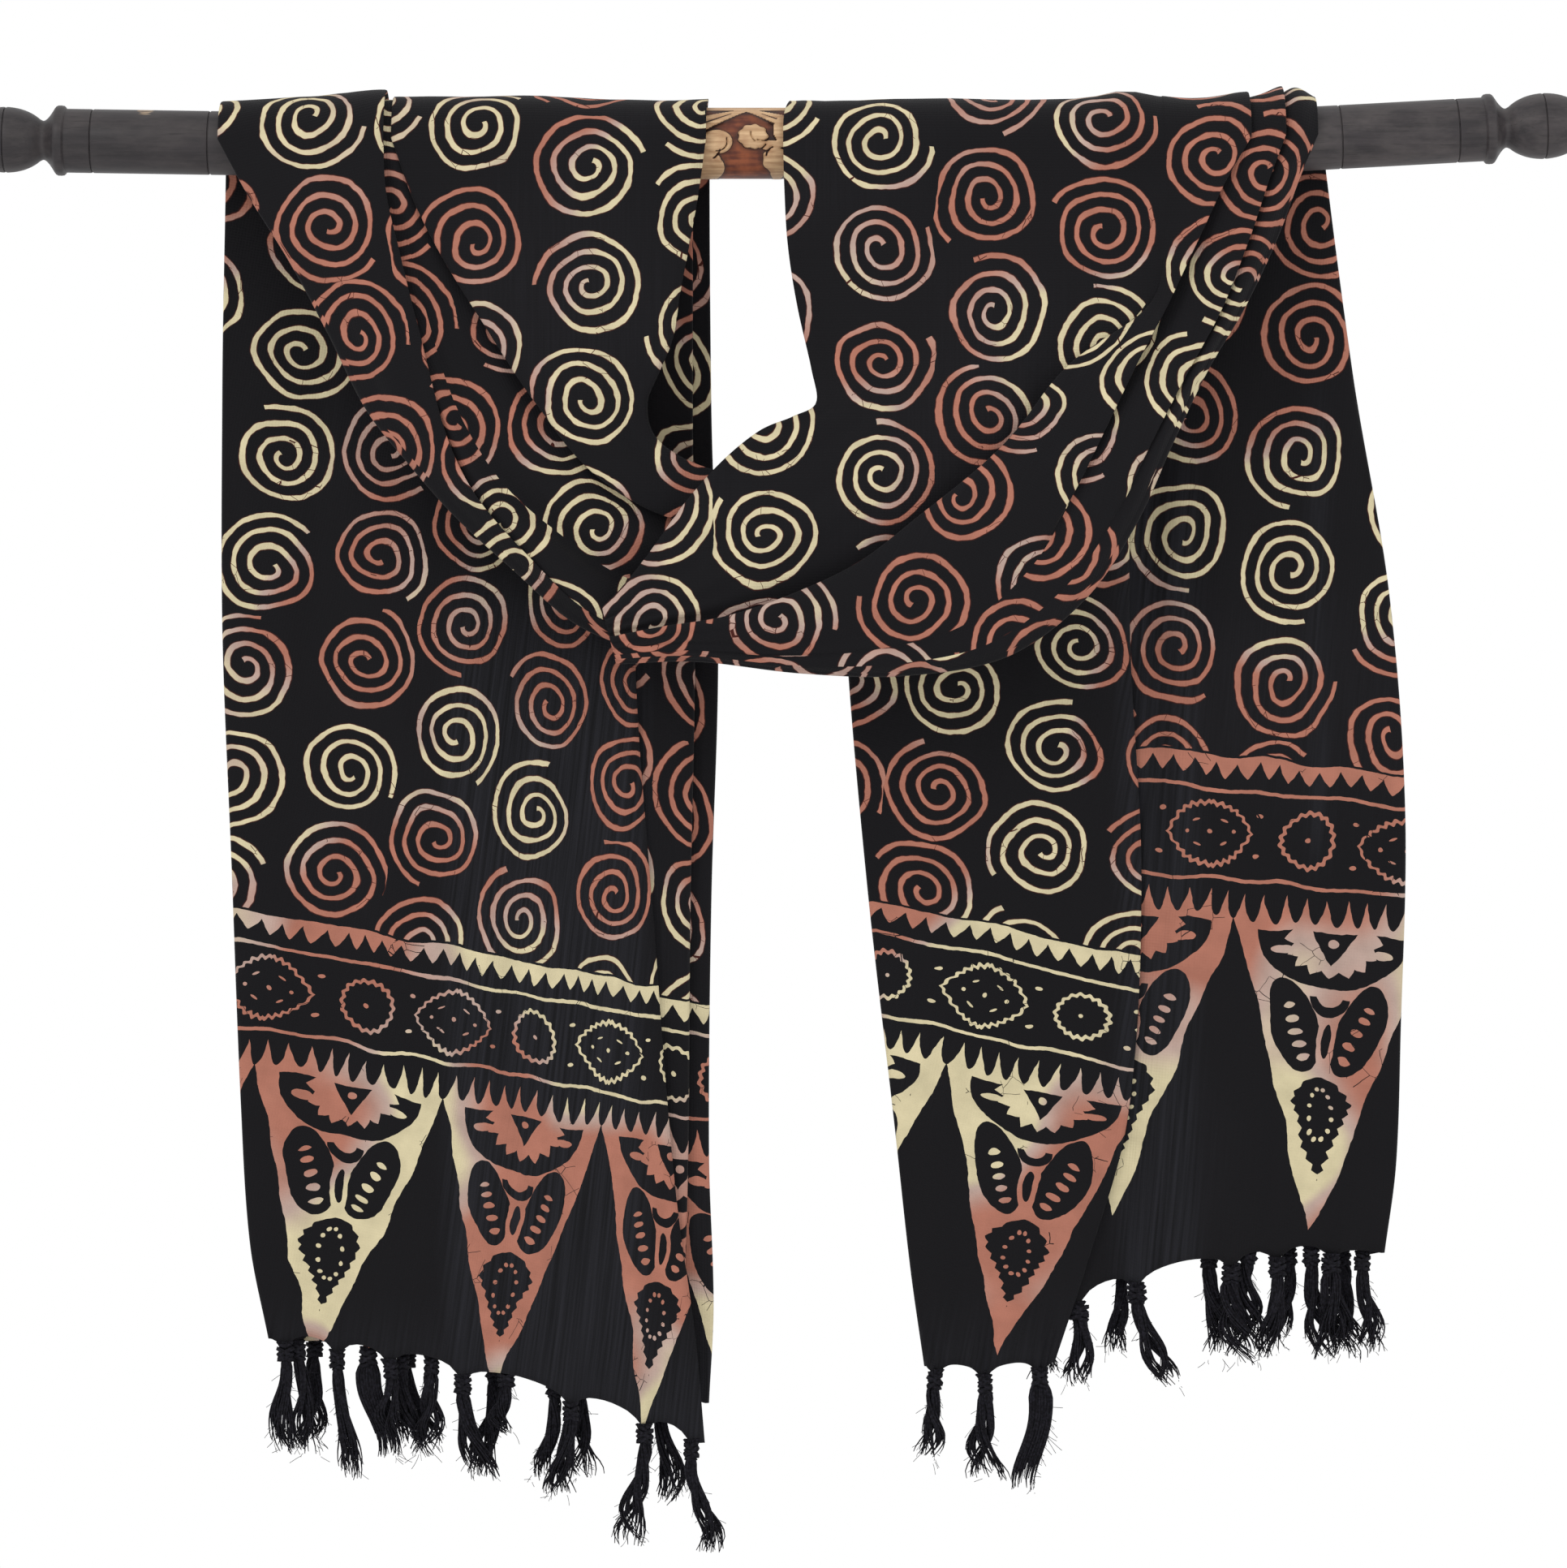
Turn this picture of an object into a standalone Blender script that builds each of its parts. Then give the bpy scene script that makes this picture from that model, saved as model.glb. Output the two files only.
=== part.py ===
"""A batik sarong folded lengthwise into a long band and hung on a turned wooden rod.

The middle of the band hangs in front of the rod as a swag, and both ends pass over the rod and hang
down behind it as tails that end in knotted tassels. X runs along the rod, Z is up and the swag
faces -Y. The origin is on the rod's axis, at the left edge of the right half of the swag.
Lengths are in millimetres, and MM turns them into metres.
"""

import math

import bmesh
import bpy
from mathutils import Matrix, Vector

MM = 0.001

# The cloth
WALL = 1.0  # one ply
SEAM = 0.3  # between pieces that meet

# The rod: a carved bar between two turned ends that sit slightly tilted on it
BAR_RADIUS = 15.4
BAR_LEFT = -229.0
BAR_RIGHT = 188.0
END_RADIUS = 13.7
LEFT_TILT = 0.9  # degrees, up towards the tip
RIGHT_TILT = 3.1
LEFT_COLLAR = 80.3  # from the bar's end to the collar
RIGHT_COLLAR = 114.2
GROOVES = (-62.2, -11.7)  # cut lines on the shaft, measured from the collar
GROOVE_DEPTH = 0.8
COLLAR_RADIUS = 15.0
COLLAR_WIDTH = 4.0
NECK_RADIUS = 8.4
NECK = 9.6  # from the collar's start to the narrowest place
FINIAL_RADIUS = 14.1
FINIAL_CENTRE = 25.9
FINIAL_HALVES = (19.2, 20.0)  # half its length towards the rod and towards the tip
FINIAL_START = 143  # degrees round the egg where it grows out of the neck
FINIAL_STEP = 22
ROD_STEPS = 20

# How the cloth lies on the rod
INNER_PLY = BAR_RADIUS + 2 * SEAM + WALL / 2  # radius of the ply that touches the bar
FRONT_PLY = INNER_PLY + WALL + 0.4  # radius of the ply over it
TOP_PITCH = 1.6  # from ply to ply where the tails leave the rod
LOW_PITCH = 3.0  # from ply to ply further down
TAIL_PLIES = 5
BACK_PLY = INNER_PLY + TOP_PITCH * (TAIL_PLIES - 1)  # the outer ply behind the rod
WRAP_END = -1.2  # height of the seam behind the rod
OUTWARD_FROM = 0.45  # share of the half turn after which the front ply moves outwards

# The swag's outline, a row for each section from the rod down to the neck and past it
LEFT_OUTLINE = (
    # upper edge x, z, lower edge x, z
    (-33, 0, -242, 0),
    (-36, -22, -229, -24),
    (-40, -45, -211, -53),
    (-44, -66, -195, -83),
    (-47, -85, -179, -115),
    (-53, -100, -162, -137),
    (-58, -113, -141, -161),
    (-55, -127, -116, -184),
    (-42, -137, -88, -208),
    (-24, -143, -58, -218),
    (0, -146, -20, -216),
    (24, -148, 12, -208),
)
RIGHT_OUTLINE = (
    # upper edge x, z, lower edge x, z
    (0, 0, 229, 0),
    (0.5, -21, 221, -18),
    (2, -46, 211, -44),
    (6, -72, 197, -73),
    (12, -99, 181, -100),
    (14, -114, 166, -131),
    (4, -120, 150, -166),
    (-10, -126, 128, -198),
    (-26, -139, 95, -222),
    (-42, -157, 52, -230),
    (-57, -178, 8, -229),
    (-69, -193, -36, -224),
    (-77, -201, -71, -225),
)
# The swag's depth, a row for each place along it: the front ply's y, and the gap to the back ply
LEFT_DEPTH = (
    # along, front ply y, gap
    (0.0, -FRONT_PLY, FRONT_PLY - INNER_PLY),
    (0.12, -18.2, 1.8),
    (0.35, -18.0, 5.0),
    (0.7, -17.0, 6.0),
    (1.0, -16.0, 4.0),
)
RIGHT_DEPTH = (
    (0.0, -FRONT_PLY, FRONT_PLY - INNER_PLY),
    (0.12, -19.0, 1.8),
    (0.3, -25.0, 3.5),
    (0.45, -32.0, 4.5),
    (0.7, -35.0, 5.0),
    (1.0, -34.0, 2.4),
)
# The swag's folds, a row for each line from the upper edge to the lower one. At each station along the
# band it has a place across the band and a height in front of it. An edge that lies over its
# neighbour has a tuck behind it.
LEFT_STATIONS = (0.0, 0.18, 0.36, 0.55, 0.73, 1.0)
LEFT_FOLDS = (
    # name, places across, heights
    ("upper_edge", (0, 0, 0, 0, 0, 0), (0, 1, 1, 1, 1, 0)),
    ("right_band", (0.30, 0.30, 0.28, 0.20, 0.16, 0.16), (1, 3, 6, 7, 6, 3)),
    ("right_edge", (0.64, 0.62, 0.52, 0.41, 0.32, 0.30), (2, 5, 8, 8, 7, 4)),
    ("right_tuck", (0.62, 0.595, 0.495, 0.385, 0.30, 0.28), (0.5, 0.5, 0.5, 0.5, 0.5, 0.5)),
    ("middle_band", (0.65, 0.67, 0.64, 0.60, 0.52, 0.50), (0.6, 2.5, 4.5, 6, 6, 3)),
    ("roll_valley", (0.665, 0.70, 0.74, 0.76, 0.70, 0.70), (0.6, 1.5, 3, 2, 1.5, 1)),
    ("roll", (0.68, 0.73, 0.79, 0.84, 0.82, 0.82), (0.5, 1.5, 4, 6, 7, 4)),
    ("left_tuck", (0.695, 0.755, 0.82, 0.92, 0.965, 0.97), (0.5, 0.5, 0.5, 2, 2, 1)),
    ("left_edge", (0.665, 0.73, 0.79, 0.90, 0.95, 0.96), (5, 8, 8, 6, 3, 1.5)),
    ("left_band", (0.82, 0.88, 0.91, 0.96, 0.98, 0.985), (2, 4, 5, 3, 1.5, 0.5)),
    ("lower_edge", (1, 1, 1, 1, 1, 1), (0, 0, 0, 0, 0, 0)),
)
RIGHT_STATIONS = (0.0, 0.17, 0.25, 0.33, 0.42, 0.58, 0.75, 1.0)
RIGHT_FOLDS = (
    ("upper_edge", (0, 0, 0, 0, 0, 0, 0, 0), (0, 0.5, 0.5, 0.5, 1, 1, 1, 0)),
    ("corner", (0.05, 0.05, 0.05, 0.05, 0.06, 0.17, 0.20, 0.20), (0, 0.8, 1, 1.5, 3.5, 4.5, 3, 1)),
    ("panel", (0.35, 0.38, 0.38, 0.34, 0.30, 0.32, 0.33, 0.33), (0.5, 2, 3, 4, 5, 6, 5, 2)),
    ("panel_tuck", (0.70, 0.76, 0.78, 0.675, 0.61, 0.54, 0.56, 0.60), (1, 2, 2, 1, 0.5, 0.5, 0.5, 0.5)),
    ("band_edge", (0.72, 0.78, 0.79, 0.65, 0.58, 0.51, 0.53, 0.57), (1.5, 2.5, 4, 7, 8.5, 9, 8, 3)),
    ("band", (0.79, 0.80, 0.81, 0.74, 0.70, 0.72, 0.74, 0.76), (1.5, 4, 6, 6, 6, 6, 5, 2)),
    ("outer_edge", (0.875, 0.84, 0.83, 0.82, 0.81, 0.81, 0.83, 0.85), (3.5, 8, 8.5, 8, 7, 6, 4.5, 1.5)),
    ("outer_tuck", (0.86, 0.82, 0.81, 0.80, 0.795, 0.84, 0.87, 0.89), (0.5, 0.5, 0.5, 1, 3, 4, 3.5, 1)),
    ("pleat", (0.90, 0.88, 0.89, 0.89, 0.88, 0.885, 0.90, 0.92), (2, 4, 4, 4.5, 5, 4.5, 4, 1.2)),
    ("pleat_edge", (0.94, 0.945, 0.955, 0.96, 0.95, 0.93, 0.935, 0.945), (5, 6, 6, 5, 4, 4, 3, 1)),
    ("pleat_tuck", (0.93, 0.93, 0.94, 0.95, 0.955, 0.95, 0.955, 0.96), (0.5, 0.5, 0.5, 1, 2, 3, 2.4, 0.8)),
    ("rope", (0.965, 0.97, 0.975, 0.98, 0.98, 0.975, 0.98, 0.98), (4, 4, 4, 3, 2.5, 2, 1.5, 0.5)),
    ("lower_edge", (1, 1, 1, 1, 1, 1, 1, 1), (0, 0, 0, 0, 0, 0, 0, 0)),
)
SWAG_SPLIT = 2  # points from one fold line to the next
SWAG_ROWS = 13
WRAP_ROWS = 9
TURN_POINTS = 2
BACK_POINTS = 5
RIGHT_LIFT = math.tan(math.radians(RIGHT_TILT))

# The tails, folded to and fro in five plies: x of each edge, a row for each height
LEFT_EDGES = (
    # down, front ply's free edge, left fold, right fold, left fold, right fold, back ply's free edge
    (0.0, -62, -241, -40, -238, -33, -240),
    (0.2, -63, -242, -41, -238, -33, -240),
    (0.4, -64, -242, -40, -237, -30, -239),
    (0.6, -56, -238, -42, -234, -33, -236),
    (0.8, -47, -234, -43, -231, -34, -232),
    (0.92, -38, -230, -45, -226, -32, -228),
    (1.0, -34, -222, -48, -216, -34, -219),
)
RIGHT_EDGES = (
    (0.0, 150, 22, 234, 60, 230, 30),
    (0.2, 151, 25, 246, 62, 242, 34),
    (0.4, 151, 29, 262, 64, 256, 38),
    (0.6, 156, 38, 269, 70, 263, 46),
    (0.8, 150, 50, 267, 80, 261, 60),
    (0.92, 132, 57, 265, 95, 258, 80),
    (1.0, 118, 63, 260, 110, 252, 95),
)
# Height of the hem at each of those edges, in the same order, and how far it bows up on each ply
LEFT_HEM = (-562, -517, -548, -519, -546, -516)
LEFT_BOW = (5, 6, 6, 5, 4)
RIGHT_HEM = (-527, -529, -480, -488, -478, -492)
RIGHT_BOW = (-4, 14, 8, 6, 6)
TAIL_ROWS = 8
PLY_POINTS = 9
FOLD_POINTS = 2
LOOSE_FROM = 0.2  # share of a tail's length over which its plies part
CREASE_FADE = 0.15
# Long soft troughs and ridges down the tails, which all plies follow; a ridge has a depth below zero
LEFT_CREASES = (
    # x at the rod, x at the hem, half width, depth, where it starts, where it ends
    (-207, -194, 17, 2.5, 0.1, 1.1),
    (-165, -152, 24, -2.0, 0.15, 1.1),
    (-112, -104, 20, 2.8, 0.2, 1.1),
    (-72, -64, 15, -1.5, 0.3, 1.1),
)
RIGHT_CREASES = (
    (161, 146, 15, 6.5, 0.2, 1.1),
    (188, 182, 16, -2.5, 0.1, 1.1),
    (88, 92, 22, 2.0, 0.2, 1.1),
    (232, 228, 14, 1.8, 0.5, 1.1),
    (240, 244, 12, -1.8, 0.05, 0.5),
)

# Tassels: the ply each hangs from, counted from the front, and its place between that ply's edges
LEFT_TASSELS = (
    # ply, places across it from the left
    (0, (0.03, 0.15, 0.27, 0.44, 0.69, 0.86, 0.97)),
    (1, (0.06, 0.24, 0.40, 0.58)),
    (2, (0.30, 0.69)),
    (4, (0.08, 0.30, 0.50, 0.70, 0.90)),
)
RIGHT_TASSELS = (
    (0, (0.06, 0.44, 0.88)),
    (1, (0.33, 0.46, 0.67, 0.77, 0.89)),
    (2, (0.62, 0.80, 0.95)),
    (4, (0.10, 0.34, 0.58, 0.80, 0.95)),
)
KNOT_WIDTH = 6.5
KNOT_HEIGHT = 8.0
KNOT_DEPTH = 2.4  # kept inside the space between two plies
TASSEL_LENGTH = 50.0
HEM_GAP = 0.5  # from the hem to the neck of a knot
LOCK_TAPER = (1.3, 0.5)  # width of a lock half way down and at its end, from its root


def smooth_steps(rows, place):
    """Values at a place along a table whose rows start with their own place, on a smooth curve."""
    places = [row[0] for row in rows]
    place = min(max(place, places[0]), places[-1])
    i = max(k for k in range(len(rows) - 1) if places[k] <= place)
    before, a, b, after = rows[max(i - 1, 0)], rows[i], rows[i + 1], rows[min(i + 2, len(rows) - 1)]
    span = b[0] - a[0]
    f = (place - a[0]) / span
    values = []
    for k in range(1, len(a)):
        slope_a = (b[k] - before[k]) / max(b[0] - before[0], 1e-9) * span
        slope_b = (after[k] - a[k]) / max(after[0] - a[0], 1e-9) * span
        values.append(
            (2 * f**3 - 3 * f**2 + 1) * a[k]
            + (f**3 - 2 * f**2 + f) * slope_a
            + (3 * f**2 - 2 * f**3) * b[k]
            + (f**3 - f**2) * slope_b
        )
    return values


def even_rows(outline):
    """The rows of an outline with their place along it put first."""
    last = len(outline) - 1
    return [(i / last, *row) for i, row in enumerate(outline)]


def smooth_path(points, split):
    """A smooth line through points of (reach, height), with the same number of steps between each two."""
    spaced = [0.0]
    for a, b in zip(points, points[1:]):
        spaced.append(spaced[-1] + max(math.dist(a, b), 0.01) ** 0.5)
    rows = [(at, *point) for at, point in zip(spaced, points)]
    places = [a + (b - a) * k / split for a, b in zip(spaced, spaced[1:]) for k in range(split)]
    return [tuple(smooth_steps(rows, place)) for place in [*places, spaced[-1]]]


def front_section(folds, stations, along, chord, split):
    """The front ply at one section: points of (distance from the upper edge, height)."""
    lines = []
    for _, places, heights in folds:
        across, height = smooth_steps(list(zip(stations, places, heights)), along)
        lines.append((across * chord, height))
    return smooth_path(lines, split)


def band_section(folds, stations, along, chord, gap, split):
    """Front ply, turn at the lower edge and back ply at one section, from the selvage onwards."""
    turn = gap / 2
    points = front_section(folds, stations, along, chord - turn, split)
    for k in range(1, TURN_POINTS + 1):
        angle = math.pi * k / (TURN_POINTS + 1)
        points.append((chord - turn + turn * math.sin(angle), -turn + turn * math.cos(angle)))
    for k in range(BACK_POINTS + 1):
        f = k / BACK_POINTS
        points.append(((chord - turn) * (1 - f) + 3.0 * f, -gap))
    return points


def ease(share):
    """A soft step from 0 to 1."""
    share = max(0.0, min(1.0, share))
    return share * share * (3 - 2 * share)


def wrap_point(x, height, turn):
    """A point of the band where it lies round the rod; turn is 0 in front and pi behind.

    The front ply moves out to the outer place of the stack behind the rod, and a ply under it, whose
    height is below zero, stays on the bar.
    """
    outwards = (BACK_PLY - FRONT_PLY) * ease((turn / math.pi - OUTWARD_FROM) / (1 - OUTWARD_FROM))
    if height < 0:
        outwards *= 1 + height / (FRONT_PLY - INNER_PLY)
    radius = FRONT_PLY + height + outwards
    lift = max(0.0, x - BAR_RIGHT) * RIGHT_LIFT
    return Vector((x, -radius * math.cos(turn), radius * math.sin(turn) + lift))


def swag_grid(outline, depth, folds, stations):
    """Rows of points for half of the swag, from the seam behind the rod to the neck."""
    rows = []
    upper_x, _, lower_x, _ = outline[0]
    side = 1 if lower_x > upper_x else -1
    chord = abs(lower_x - upper_x)
    for i in range(WRAP_ROWS):
        turn = math.pi * (1 - i / WRAP_ROWS)
        section = band_section(folds, stations, 0.0, chord, FRONT_PLY - INNER_PLY, SWAG_SPLIT)
        fade = 1 - 0.75 * max(0.0, turn / math.pi - 0.5) * 2
        row = []
        for reach, height in section:
            height = height * fade if height > 0 else height
            row.append(wrap_point(upper_x + side * reach, height, turn))
        if i == 0:
            row = [Vector((p.x, p.y, WRAP_END)) for p in row]
        rows.append(row)
    for i in range(SWAG_ROWS + 1):
        along = i / SWAG_ROWS
        ux, uz, lx, lz = smooth_steps(even_rows(outline), along)
        front_y, gap = smooth_steps(depth, along)
        across = Vector((lx - ux, 0, lz - uz))
        chord = across.length
        across.normalize()
        row = []
        for reach, height in band_section(folds, stations, along, chord, gap, SWAG_SPLIT):
            point = Vector((ux, front_y - height, uz)) + across * reach
            point.z += max(0.0, point.x - BAR_RIGHT) * RIGHT_LIFT * max(0.0, 1 - along / 0.25)
            row.append(point)
        rows.append(row)
    return rows


def hem_height(hem, bow, ply, share):
    """Height of the hem on a ply, at a share of the way from its first edge to its second."""
    return hem[ply] + (hem[ply + 1] - hem[ply]) * share + 4 * bow[ply] * share * (1 - share)


def tail_section(edges, hem, bow, down, extra):
    """One ply after another at one height: points of (x, place in the stack, height of the hem)."""
    xs = smooth_steps(edges, down)
    points = []
    for ply in range(TAIL_PLIES):
        a, b = xs[ply], xs[ply + 1]
        way = 1 if b > a else -1
        for k in range(PLY_POINTS + 1):
            f = k / PLY_POINTS
            points.append((a + (b - a) * f, ply, hem_height(hem, bow, ply, f)))
        if ply == TAIL_PLIES - 1:
            break
        for k in range(1, FOLD_POINTS + 1):
            angle = math.pi * k / (FOLD_POINTS + 1)
            points.append((b + way * extra * math.sin(angle), ply + (1 - math.cos(angle)) / 2, hem[ply + 1]))
    return points


def tail_y(creases, x, down, ply):
    """Depth of a ply: below the rod the stack loosens and takes on the creases."""
    depth = INNER_PLY + (TOP_PITCH + (LOW_PITCH - TOP_PITCH) * ease(down / LOOSE_FROM)) * ply
    for x_top, x_hem, half_width, trough, start, end in creases:
        away = (x - x_top - (x_hem - x_top) * down) / half_width
        depth += trough * math.exp(-away * away) * ease(min(down - start, end - down) / CREASE_FADE)
    return depth


def tail_grid(edges, creases, hem, bow, top):
    rows = []
    for i in range(TAIL_ROWS + 1):
        down = i / TAIL_ROWS
        extra = (TOP_PITCH + (LOW_PITCH - TOP_PITCH) * min(1.0, down / LOOSE_FROM)) / 2
        row = []
        for x, ply, hem_z in tail_section(edges, hem, bow, down, extra):
            row.append(Vector((x, tail_y(creases, x, down, ply), top + (hem_z - top) * down)))
        rows.append(row)
    return rows


def cloth_from_rows(name, rows, material, flip):
    """A wall of cloth through rows of points, one ply thick."""
    mesh = bpy.data.meshes.new(name)
    bm = bmesh.new()
    bmesh.ops.create_grid(bm, x_segments=len(rows[0]) - 1, y_segments=len(rows) - 1, size=1.0)
    bm.verts.ensure_lookup_table()
    for index, vert in enumerate(bm.verts):
        row, column = divmod(index, len(rows[0]))
        vert.co = rows[row][column] * MM
    if flip:
        bmesh.ops.reverse_faces(bm, faces=bm.faces)
    bm.to_mesh(mesh)
    bm.free()
    obj = bpy.data.objects.new(name, mesh)
    mesh.materials.append(material)
    solidify = obj.modifiers.new("wall", "SOLIDIFY")
    solidify.thickness = WALL * MM
    solidify.offset = 0.0
    return obj


def plain_material(name, colour, roughness):
    material = bpy.data.materials.new(name)
    material.use_nodes = True
    shader = material.node_tree.nodes["Principled BSDF"]
    shader.inputs["Base Color"].default_value = (*colour, 1)
    shader.inputs["Roughness"].default_value = roughness
    material.diffuse_color = (*colour, 1)
    return material


def turned(name, profile, material):
    """A turned piece along X: the profile's rows are (distance along, radius), tip first."""
    mesh = bpy.data.meshes.new(name)
    bm = bmesh.new()
    verts = [bm.verts.new((0, radius * MM, along * MM)) for along, radius in profile]
    for a, b in zip(verts, verts[1:]):
        bm.edges.new((a, b))
    bmesh.ops.spin(
        bm,
        geom=bm.verts[:] + bm.edges[:],
        axis=(0, 0, 1),
        cent=(0, 0, 0),
        steps=ROD_STEPS,
        angle=2 * math.pi,
        use_merge=True,
    )
    bmesh.ops.remove_doubles(bm, verts=bm.verts, dist=1e-6)
    bmesh.ops.recalc_face_normals(bm, faces=bm.faces)
    bm.to_mesh(mesh)
    bm.free()
    mesh.shade_smooth()
    obj = bpy.data.objects.new(name, mesh)
    mesh.materials.append(material)
    return obj


def rod_end(name, collar, tilt, material):
    """Straight shaft with two cut lines, a collar, a cove and an egg-shaped finial."""
    r = END_RADIUS
    start = SEAM + r * math.sin(math.radians(tilt))
    profile = [(start, 0.0), (start, r)]
    for place in GROOVES:
        cut = collar + place
        profile += [(cut - 0.6, r), (cut, r - GROOVE_DEPTH), (cut + 0.6, r)]
    profile += [(collar, r), (collar + 0.6, COLLAR_RADIUS), (collar + COLLAR_WIDTH, COLLAR_RADIUS)]
    profile += [(collar + 6.8, 10.4), (collar + NECK, NECK_RADIUS)]
    for degrees in range(FINIAL_START, 0, -FINIAL_STEP):
        angle = math.radians(degrees)
        half = FINIAL_HALVES[0] if degrees > 90 else FINIAL_HALVES[1]
        profile.append((collar + FINIAL_CENTRE + half * math.cos(angle), FINIAL_RADIUS * math.sin(angle)))
    profile.append((collar + FINIAL_CENTRE + FINIAL_HALVES[1], 0.0))
    return turned(name, profile, material)


def make_rod(stained, carved):
    bar = turned(
        "rod_bar",
        [(0, 0), (0, BAR_RADIUS), (BAR_RIGHT - BAR_LEFT, BAR_RADIUS), (BAR_RIGHT - BAR_LEFT, 0)],
        carved,
    )
    bar.matrix_world = Matrix.Translation((BAR_LEFT * MM, 0, 0)) @ Matrix.Rotation(math.pi / 2, 4, "Y")
    left = rod_end("rod_left_end", LEFT_COLLAR, LEFT_TILT, stained)
    left.matrix_world = (
        Matrix.Translation((BAR_LEFT * MM, 0, 0))
        @ Matrix.Rotation(math.radians(LEFT_TILT), 4, "Y")
        @ Matrix.Rotation(-math.pi / 2, 4, "Y")
    )
    right = rod_end("rod_right_end", RIGHT_COLLAR, RIGHT_TILT, stained)
    right.matrix_world = (
        Matrix.Translation((BAR_RIGHT * MM, 0, 0))
        @ Matrix.Rotation(-math.radians(RIGHT_TILT), 4, "Y")
        @ Matrix.Rotation(math.pi / 2, 4, "Y")
    )
    return [bar, left, right]


def tassel(name, root, turn, slope, number, material):
    """A knot under the hem with three locks grown out of its underside, as one closed body."""
    mesh = bpy.data.meshes.new(name)
    bm = bmesh.new()
    made = bmesh.ops.create_cube(bm, size=1.0)
    bmesh.ops.scale(bm, vec=(KNOT_WIDTH, KNOT_DEPTH, KNOT_HEIGHT / 2), verts=made["verts"])
    bmesh.ops.translate(bm, vec=(0, 0, -KNOT_HEIGHT * 0.75), verts=made["verts"])
    top = max(bm.faces, key=lambda face: face.calc_center_median().z)
    neck = bmesh.ops.extrude_discrete_faces(bm, faces=[top])["faces"][0]
    bmesh.ops.scale(bm, vec=(0.5, 0.7, 1), verts=neck.verts)
    bmesh.ops.translate(bm, vec=(0, 0, KNOT_HEIGHT / 2), verts=neck.verts)
    for vert in neck.verts:
        vert.co.z += slope * vert.co.x
    bottom = min(bm.faces, key=lambda face: face.calc_center_median().z)
    across = [edge for edge in bottom.edges if abs(edge.verts[0].co.x - edge.verts[1].co.x) > 1]
    bmesh.ops.subdivide_edges(bm, edges=across, cuts=2)
    low = min(vert.co.z for vert in bm.verts)
    soles = [face for face in bm.faces if all(abs(vert.co.z - low) < 1e-4 for vert in face.verts)]
    bmesh.ops.inset_individual(bm, faces=soles, thickness=0.25)
    for k, sole in enumerate(sorted(soles, key=lambda face: face.calc_center_median().x)):
        length = TASSEL_LENGTH * (0.72 + 0.28 * abs(math.sin(1.7 * number + 2.1 * k)))
        spread = (k - 1) * 3.2 + 2.6 * math.sin(0.9 * number + k)
        for step, thin in enumerate(LOCK_TAPER):
            sole = bmesh.ops.extrude_discrete_faces(bm, faces=[sole])["faces"][0]
            shift = spread * (0.5 if step == 0 else 0.35 * math.cos(1.3 * number + k + step))
            drop = -(length - KNOT_HEIGHT) / len(LOCK_TAPER)
            bmesh.ops.translate(bm, vec=(shift, 0, drop), verts=sole.verts)
            centre = sole.calc_center_median()
            bmesh.ops.scale(bm, vec=(thin, thin, 1), space=Matrix.Translation(-centre), verts=sole.verts)
    bmesh.ops.rotate(bm, matrix=Matrix.Rotation(turn, 3, "Z"), verts=bm.verts)
    bmesh.ops.translate(bm, vec=root, verts=bm.verts)
    bmesh.ops.scale(bm, vec=(MM, MM, MM), verts=bm.verts)
    bmesh.ops.recalc_face_normals(bm, faces=bm.faces)
    bm.to_mesh(mesh)
    bm.free()
    obj = bpy.data.objects.new(name, mesh)
    mesh.materials.append(material)
    return obj


def make_tassels(side, edges, creases, hem, bow, rows, material):
    made = []
    xs = smooth_steps(edges, 1.0)
    for ply, places in rows:
        for place in places:
            share = place if xs[ply + 1] > xs[ply] else 1 - place
            x = xs[ply] + (xs[ply + 1] - xs[ply]) * share
            z = hem_height(hem, bow, ply, share) - HEM_GAP
            slope = (hem_height(hem, bow, ply, share + 0.01) - hem_height(hem, bow, ply, share)) / 0.01
            slope /= xs[ply + 1] - xs[ply]
            y = tail_y(creases, x, 1.0, ply)
            turn = math.atan2(tail_y(creases, x + 1, 1.0, ply) - y, 1)
            number = len(made)
            name = f"tassel_{side}_{number + 1:02d}"
            made.append(tassel(name, (x, y, z), turn, slope, number, material))
    return made


def clear_scene():
    for obj in list(bpy.data.objects):
        bpy.data.objects.remove(obj)


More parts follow.
